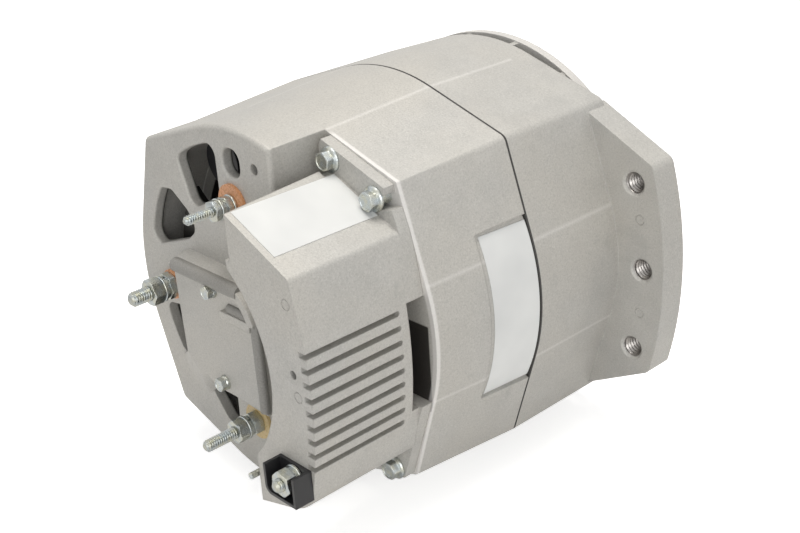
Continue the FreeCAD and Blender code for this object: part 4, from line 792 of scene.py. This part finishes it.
def winding_tree(name):
    """A tree that bends one wire loop round a circle of places and gives the wire its thickness."""
    tree = bpy.data.node_groups.new(name, "GeometryNodeTree")
    for label, kind, start in (("Count", "NodeSocketInt", 36), ("Radius", "NodeSocketFloat", 0.08),
                               ("Level", "NodeSocketFloat", 0.0), ("Loop", "NodeSocketFloat", 0.006),
                               ("Lean", "NodeSocketFloat", 0.6), ("Wire", "NodeSocketFloat", 0.0008),
                               ("Finish", "NodeSocketMaterial", None)):
        socket = tree.interface.new_socket(label, in_out="INPUT", socket_type=kind)
        if start is not None:
            socket.default_value = start
    tree.interface.new_socket("Turns", in_out="OUTPUT", socket_type="NodeSocketGeometry")
    given = tree.nodes.new("NodeGroupInput")
    result = tree.nodes.new("NodeGroupOutput")
    around = tree.nodes.new("GeometryNodeCurvePrimitiveCircle")
    points = tree.nodes.new("GeometryNodeCurveToPoints")
    upright = tree.nodes.new("GeometryNodeTransform")
    upright.inputs["Rotation"].default_value = (math.pi / 2, 0, 0)
    shift = tree.nodes.new("ShaderNodeCombineXYZ")
    loop = tree.nodes.new("GeometryNodeCurvePrimitiveCircle")
    loop.inputs["Resolution"].default_value = 16
    section = tree.nodes.new("GeometryNodeCurvePrimitiveCircle")
    section.inputs["Resolution"].default_value = 6
    wire = tree.nodes.new("GeometryNodeCurveToMesh")
    lean = tree.nodes.new("ShaderNodeCombineXYZ")
    turned = tree.nodes.new("FunctionNodeRotateEuler")
    turned.space = "LOCAL"
    angle = tree.nodes.new("GeometryNodeInputPosition")
    split = tree.nodes.new("ShaderNodeSeparateXYZ")
    bearing = tree.nodes.new("ShaderNodeMath")
    bearing.operation = "ARCTAN2"
    back = tree.nodes.new("ShaderNodeMath")
    back.operation = "MULTIPLY"
    back.inputs[1].default_value = -1.0
    about = tree.nodes.new("ShaderNodeCombineXYZ")
    set_on = tree.nodes.new("GeometryNodeInstanceOnPoints")
    real = tree.nodes.new("GeometryNodeRealizeInstances")
    paint = tree.nodes.new("GeometryNodeSetMaterial")
    for output, socket in (
            (given.outputs["Radius"], around.inputs["Radius"]),
            (around.outputs["Curve"], points.inputs["Curve"]),
            (given.outputs["Count"], points.inputs["Count"]),
            (points.outputs["Points"], upright.inputs["Geometry"]),
            (given.outputs["Level"], shift.inputs["Y"]),
            (shift.outputs["Vector"], upright.inputs["Translation"]),
            (given.outputs["Loop"], loop.inputs["Radius"]), (loop.outputs["Curve"], wire.inputs["Curve"]),
            (given.outputs["Wire"], section.inputs["Radius"]),
            (section.outputs["Curve"], wire.inputs["Profile Curve"]),
            (angle.outputs["Position"], split.inputs["Vector"]), (split.outputs["Z"], bearing.inputs[0]),
            (split.outputs["X"], bearing.inputs[1]), (bearing.outputs["Value"], back.inputs[0]),
            (back.outputs["Value"], about.inputs["Y"]), (given.outputs["Lean"], lean.inputs["X"]),
            (about.outputs["Vector"], turned.inputs["Rotation"]),
            (lean.outputs["Vector"], turned.inputs["Rotate By"]),
            (turned.outputs["Rotation"], set_on.inputs["Rotation"]),
            (upright.outputs["Geometry"], set_on.inputs["Points"]),
            (wire.outputs["Mesh"], set_on.inputs["Instance"]),
            (set_on.outputs["Instances"], real.inputs["Geometry"]),
            (real.outputs["Geometry"], paint.inputs["Geometry"]),
            (given.outputs["Finish"], paint.inputs["Material"]),
            (paint.outputs["Geometry"], result.inputs["Turns"])):
        tree.links.new(output, socket)
    return tree


def end_turns():
    """Loops of enamelled wire round both ends of the winding, each standing a little proud of it."""
    low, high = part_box("stator_winding")
    copper = FINISHES["copper_wire"]
    tree = winding_tree("end_turns")
    rows = []
    for end, level, lean in (("rear", low.y + WINDING_BULGE, 0.5), ("front", high.y - WINDING_BULGE, -0.5)):
        rows.append(grow(f"{end}_turns", bpy.data.meshes.new(f"{end}_turns"), tree, {
            "Count": TURN_COUNT, "Radius": WINDING_MIDDLE, "Level": level, "Loop": WINDING_BULGE + 0.1 * MM,
            "Lean": lean, "Wire": WIRE_RADIUS, "Finish": copper}))
    finish_piece(join("winding_loops", rows), "housing", copper, "copper_wire", angle=60)


def rail_tree(name):
    """A tree that lays a rounded rail of a given width and height along a path."""
    tree = bpy.data.node_groups.new(name, "GeometryNodeTree")
    for label, kind, start in (("Path", "NodeSocketGeometry", None), ("Width", "NodeSocketFloat", 0.004),
                               ("Height", "NodeSocketFloat", 0.003), ("Finish", "NodeSocketMaterial", None)):
        socket = tree.interface.new_socket(label, in_out="INPUT", socket_type=kind)
        if start is not None:
            socket.default_value = start
    tree.interface.new_socket("Rail", in_out="OUTPUT", socket_type="NodeSocketGeometry")
    given = tree.nodes.new("NodeGroupInput")
    result = tree.nodes.new("NodeGroupOutput")
    path = tree.nodes.new("GeometryNodeMeshToCurve")
    smooth = tree.nodes.new("GeometryNodeFilletCurve")
    smooth.mode = "POLY"
    smooth.inputs["Count"].default_value = 6
    smooth.inputs["Radius"].default_value = 3 * MM
    section = tree.nodes.new("GeometryNodeCurvePrimitiveCircle")
    section.inputs["Resolution"].default_value = 20
    section.inputs["Radius"].default_value = 1.0
    squash = tree.nodes.new("ShaderNodeCombineXYZ")
    squash.inputs["Z"].default_value = 1.0
    shape = tree.nodes.new("GeometryNodeTransform")
    sweep = tree.nodes.new("GeometryNodeCurveToMesh")
    sweep.inputs["Fill Caps"].default_value = True
    real = tree.nodes.new("GeometryNodeRealizeInstances")
    paint = tree.nodes.new("GeometryNodeSetMaterial")
    for output, socket in (
            (given.outputs["Path"], path.inputs["Mesh"]), (path.outputs["Curve"], smooth.inputs["Curve"]),
            (given.outputs["Width"], squash.inputs["X"]), (given.outputs["Height"], squash.inputs["Y"]),
            (section.outputs["Curve"], shape.inputs["Geometry"]),
            (squash.outputs["Vector"], shape.inputs["Scale"]),
            (smooth.outputs["Curve"], sweep.inputs["Curve"]),
            (shape.outputs["Geometry"], sweep.inputs["Profile Curve"]),
            (sweep.outputs["Mesh"], real.inputs["Geometry"]),
            (real.outputs["Geometry"], paint.inputs["Geometry"]),
            (given.outputs["Finish"], paint.inputs["Material"]),
            (paint.outputs["Geometry"], result.inputs["Rail"])):
        tree.links.new(output, socket)
    return tree


def pad_rails():
    """Cast rails on the brush holder's pad: the roll under its ridge and the bead along its right side."""
    # Painted shade: the rails take a darker copy of the casting's tone, with coarser grain.
    casting = cast_aluminium("coarse_shaded_casting", tuple(0.60 * part for part in CASTING_TONE), 0.9)
    face = REAR_FACE - PAD_HEIGHT
    tree = rail_tree("rail_along_path")
    rails = []
    for name, width, height, points in (
            ("roll", 3.6, 3.6, ((-43.8, 17.4), (-20, 17.4), (9.0, 17.4))),
            ("bead", 2.4, 2.9, ((-1.5, 6.2), (8, 6.2), (18.0, 6.2), (18.2, -20), (18.2, -41.9)))):
        mesh = bpy.data.meshes.new(f"{name}_path")
        mesh.from_pydata([Vector((x * MM, face, z * MM)) for x, z in points],
                         [(step, step + 1) for step in range(len(points) - 1)], [])
        rails.append(grow(name, mesh, tree, {"Width": width * MM, "Height": height * MM, "Finish": casting}))
    finish_piece(join("pad_rails", rails), "housing", casting, "cast_aluminium", angle=50)


def ejector_marks():
    """Round ejector marks on the regulator's rear face and between the flange's holes."""
    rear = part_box("regulator_housing")[0].y
    rings = []
    for radius, lift in ((2.1, 0.0), (2.2, 0.22), (2.6, 0.22), (2.75, 0.0)):
        rings.append(circle_points(0, 0, radius * MM, (0.05 - lift) * MM, 30))
    mark = piece_from_rings("mark", rings, closed=True)
    places = spots(REGULATOR_MARKS, rear) + spots(FLANGE_MARKS, FLANGE_REAR)
    casting = FINISHES["cast_aluminium"]
    marks = set_on_places("ejector_marks", mark, places, casting)
    finish_piece(marks, "housing", casting, "cast_aluminium")


def brush_springs():
    """A coil spring under each brush, filling its node's box."""
    around, section = 20, 8
    for name in ("inner", "outer"):
        low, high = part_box(f"{name}_brush_spring")
        middle = (low + high) / 2
        reach = min(high.x - low.x, high.y - low.y) / 2 - SPRING_WIRE
        rings = []
        for step in range(SPRING_TURNS * around + 1):
            angle = math.tau * step / around
            out = Vector((math.cos(angle), math.sin(angle), 0))
            rise = (high.z - low.z - 2 * SPRING_WIRE) * step / (SPRING_TURNS * around)
            centre = Vector((middle.x, middle.y, low.z + SPRING_WIRE + rise)) + out * reach
            ring = []
            for part in range(section):
                turned = math.tau * part / section
                across = out * math.cos(turned) + Vector((0, 0, math.sin(turned)))
                ring.append(centre + across * SPRING_WIRE)
            rings.append(ring)
        spring = piece_from_rings(f"{name}_coil_spring", rings)
        finish_piece(spring, "housing", FINISHES["spring_steel"], "spring_steel", f"{name}_brush_spring",
                     angle=60)
        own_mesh(spring)


def flat_label(name, corner, way, normal, length, low, high):
    """A thin rectangular plate on a slope: along a way across the shaft, between two levels."""
    rings = []
    for share in (0.0, 1.0):
        ring = []
        for level, lift in ((low, 0), (high, 0), (high, 1), (low, 1)):
            place = corner + way * (length * share) + normal * (0.02 * MM + lift * LABEL_THICKNESS)
            ring.append(Vector((place.x, level, place.z)))
        rings.append(ring)
    return piece_from_rings(name, rings)


def labels():
    """Two blank plates: one in the barrel's recess, one on the regulator's sloping face."""
    rows = 40
    rings = []
    foot, top = BARREL_LABEL_Z
    near, far = PARTING - BARREL_LABEL_LENGTH, PARTING - 0.6 * MM
    for step in range(rows + 1):
        height = foot + (top - foot) * step / rows
        ring = []
        for level, lift in ((near, 0), (far, 0), (far, 1), (near, 1)):
            radius = BARREL_RADIUS - LABEL_RECESS - (PARTING - level) * BARREL_SLOPE + 0.02 * MM
            radius += lift * LABEL_THICKNESS
            ring.append(Vector((math.sqrt(radius ** 2 - height ** 2), level, height)))
        rings.append(ring)
    finish_piece(piece_from_rings("barrel_label", rings), "housing", LABEL, None)
    upper, lower = (Vector((x * MM, 0, z * MM)) for x, z in REGULATOR_SLOPE)
    way = (lower - upper).normalized()
    normal = Vector((-way.z, 0, way.x))
    corner = upper + way * (0.6 * MM)
    plate = flat_label("regulator_label", corner, way, normal, REGULATOR_LABEL_LENGTH, *REGULATOR_LABEL_Y)
    finish_piece(plate, "housing", LABEL, None)


def stage():
    """Pale floor, soft lamps and a white world."""
    mesh = bpy.data.meshes.new("floor")
    level = cad_low.z - FLOOR_DROP
    corners = ((-1, -1), (1, -1), (1, 1), (-1, 1))
    mesh.from_pydata([(x * FLOOR_REACH, y * FLOOR_REACH, level) for x, y in corners], [], [(0, 1, 2, 3)])
    floor = new_object("floor", mesh)
    paint = bpy.data.materials.new("floor_paint")
    paint.use_nodes = True
    nodes, links = paint.node_tree.nodes, paint.node_tree.links
    surface = nodes["Principled BSDF"]
    surface.inputs["Base Color"].default_value = (0.92, 0.92, 0.92, 1)
    surface.inputs["Roughness"].default_value = 0.9
    surface.inputs["Specular IOR Level"].default_value = 0.0
    path = nodes.new("ShaderNodeLightPath")
    glow = nodes.new("ShaderNodeEmission")
    glow.inputs["Strength"].default_value = FLOOR_GLOW
    both = nodes.new("ShaderNodeAddShader")
    choose = nodes.new("ShaderNodeMixShader")
    for output, socket in (
            (surface.outputs["BSDF"], both.inputs[0]), (glow.outputs["Emission"], both.inputs[1]),
            (path.outputs["Is Camera Ray"], choose.inputs["Fac"]),
            (surface.outputs["BSDF"], choose.inputs[1]),
            (both.outputs["Shader"], choose.inputs[2]),
            (choose.outputs["Shader"], nodes["Material Output"].inputs["Surface"])):
        links.new(output, socket)
    floor.data.materials.append(paint)

    world = bpy.data.worlds.new("studio")
    world.use_nodes = True
    bpy.context.scene.world = world
    nodes, links = world.node_tree.nodes, world.node_tree.links
    shine = nodes["Background"]
    shine.inputs["Color"].default_value = (1, 1, 1, 1)
    path = nodes.new("ShaderNodeLightPath")
    either, all_three = (nodes.new("ShaderNodeMath") for count in range(2))
    either.operation = all_three.operation = "MAXIMUM"
    strength = nodes.new("ShaderNodeMapRange")
    strength.inputs["To Min"].default_value = WORLD_SHINE
    strength.inputs["To Max"].default_value = 1.0
    for output, socket in (
            (path.outputs["Is Camera Ray"], either.inputs[0]),
            (path.outputs["Is Transmission Ray"], either.inputs[1]),
            (either.outputs["Value"], all_three.inputs[0]),
            (path.outputs["Is Glossy Ray"], all_three.inputs[1]),
            (all_three.outputs["Value"], strength.inputs["Value"]),
            (strength.outputs["Result"], shine.inputs["Strength"])):
        links.new(output, socket)

    for name, (place, size, power) in LAMPS.items():
        lamp = bpy.data.lights.new(name, "AREA")
        lamp.size = size
        lamp.energy = power
        lamp.color = WARM_LIGHT if name == "key" else (1, 1, 1)
        item = new_object(name, lamp)
        item.location = place
        item.rotation_mode = "QUATERNION"
        item.rotation_quaternion = (LAMP_TARGET - Vector(place)).to_track_quat("-Z", "Y")


def camera():
    """The photograph's camera."""
    data = bpy.data.cameras.new("camera")
    data.sensor_width = SENSOR
    data.lens = SENSOR * FOCAL_SHARE
    data.clip_start = 0.01
    right = CAMERA_RIGHT.normalized()
    up = right.cross(CAMERA_FORWARD).normalized()
    turned = Matrix((right, up, -CAMERA_FORWARD.normalized())).transposed()
    item = new_object("camera", data)
    item.matrix_world = Matrix.Translation(CAMERA_PLACE) @ turned.to_4x4()
    bpy.context.scene.camera = item


camera()
stage()
dress_frame()
terminals()
field_terminal()
screws()
flange_threads()
end_turns()
pad_rails()
ejector_marks()
brush_springs()
labels()
bpy.context.scene.view_settings.view_transform = "Standard"
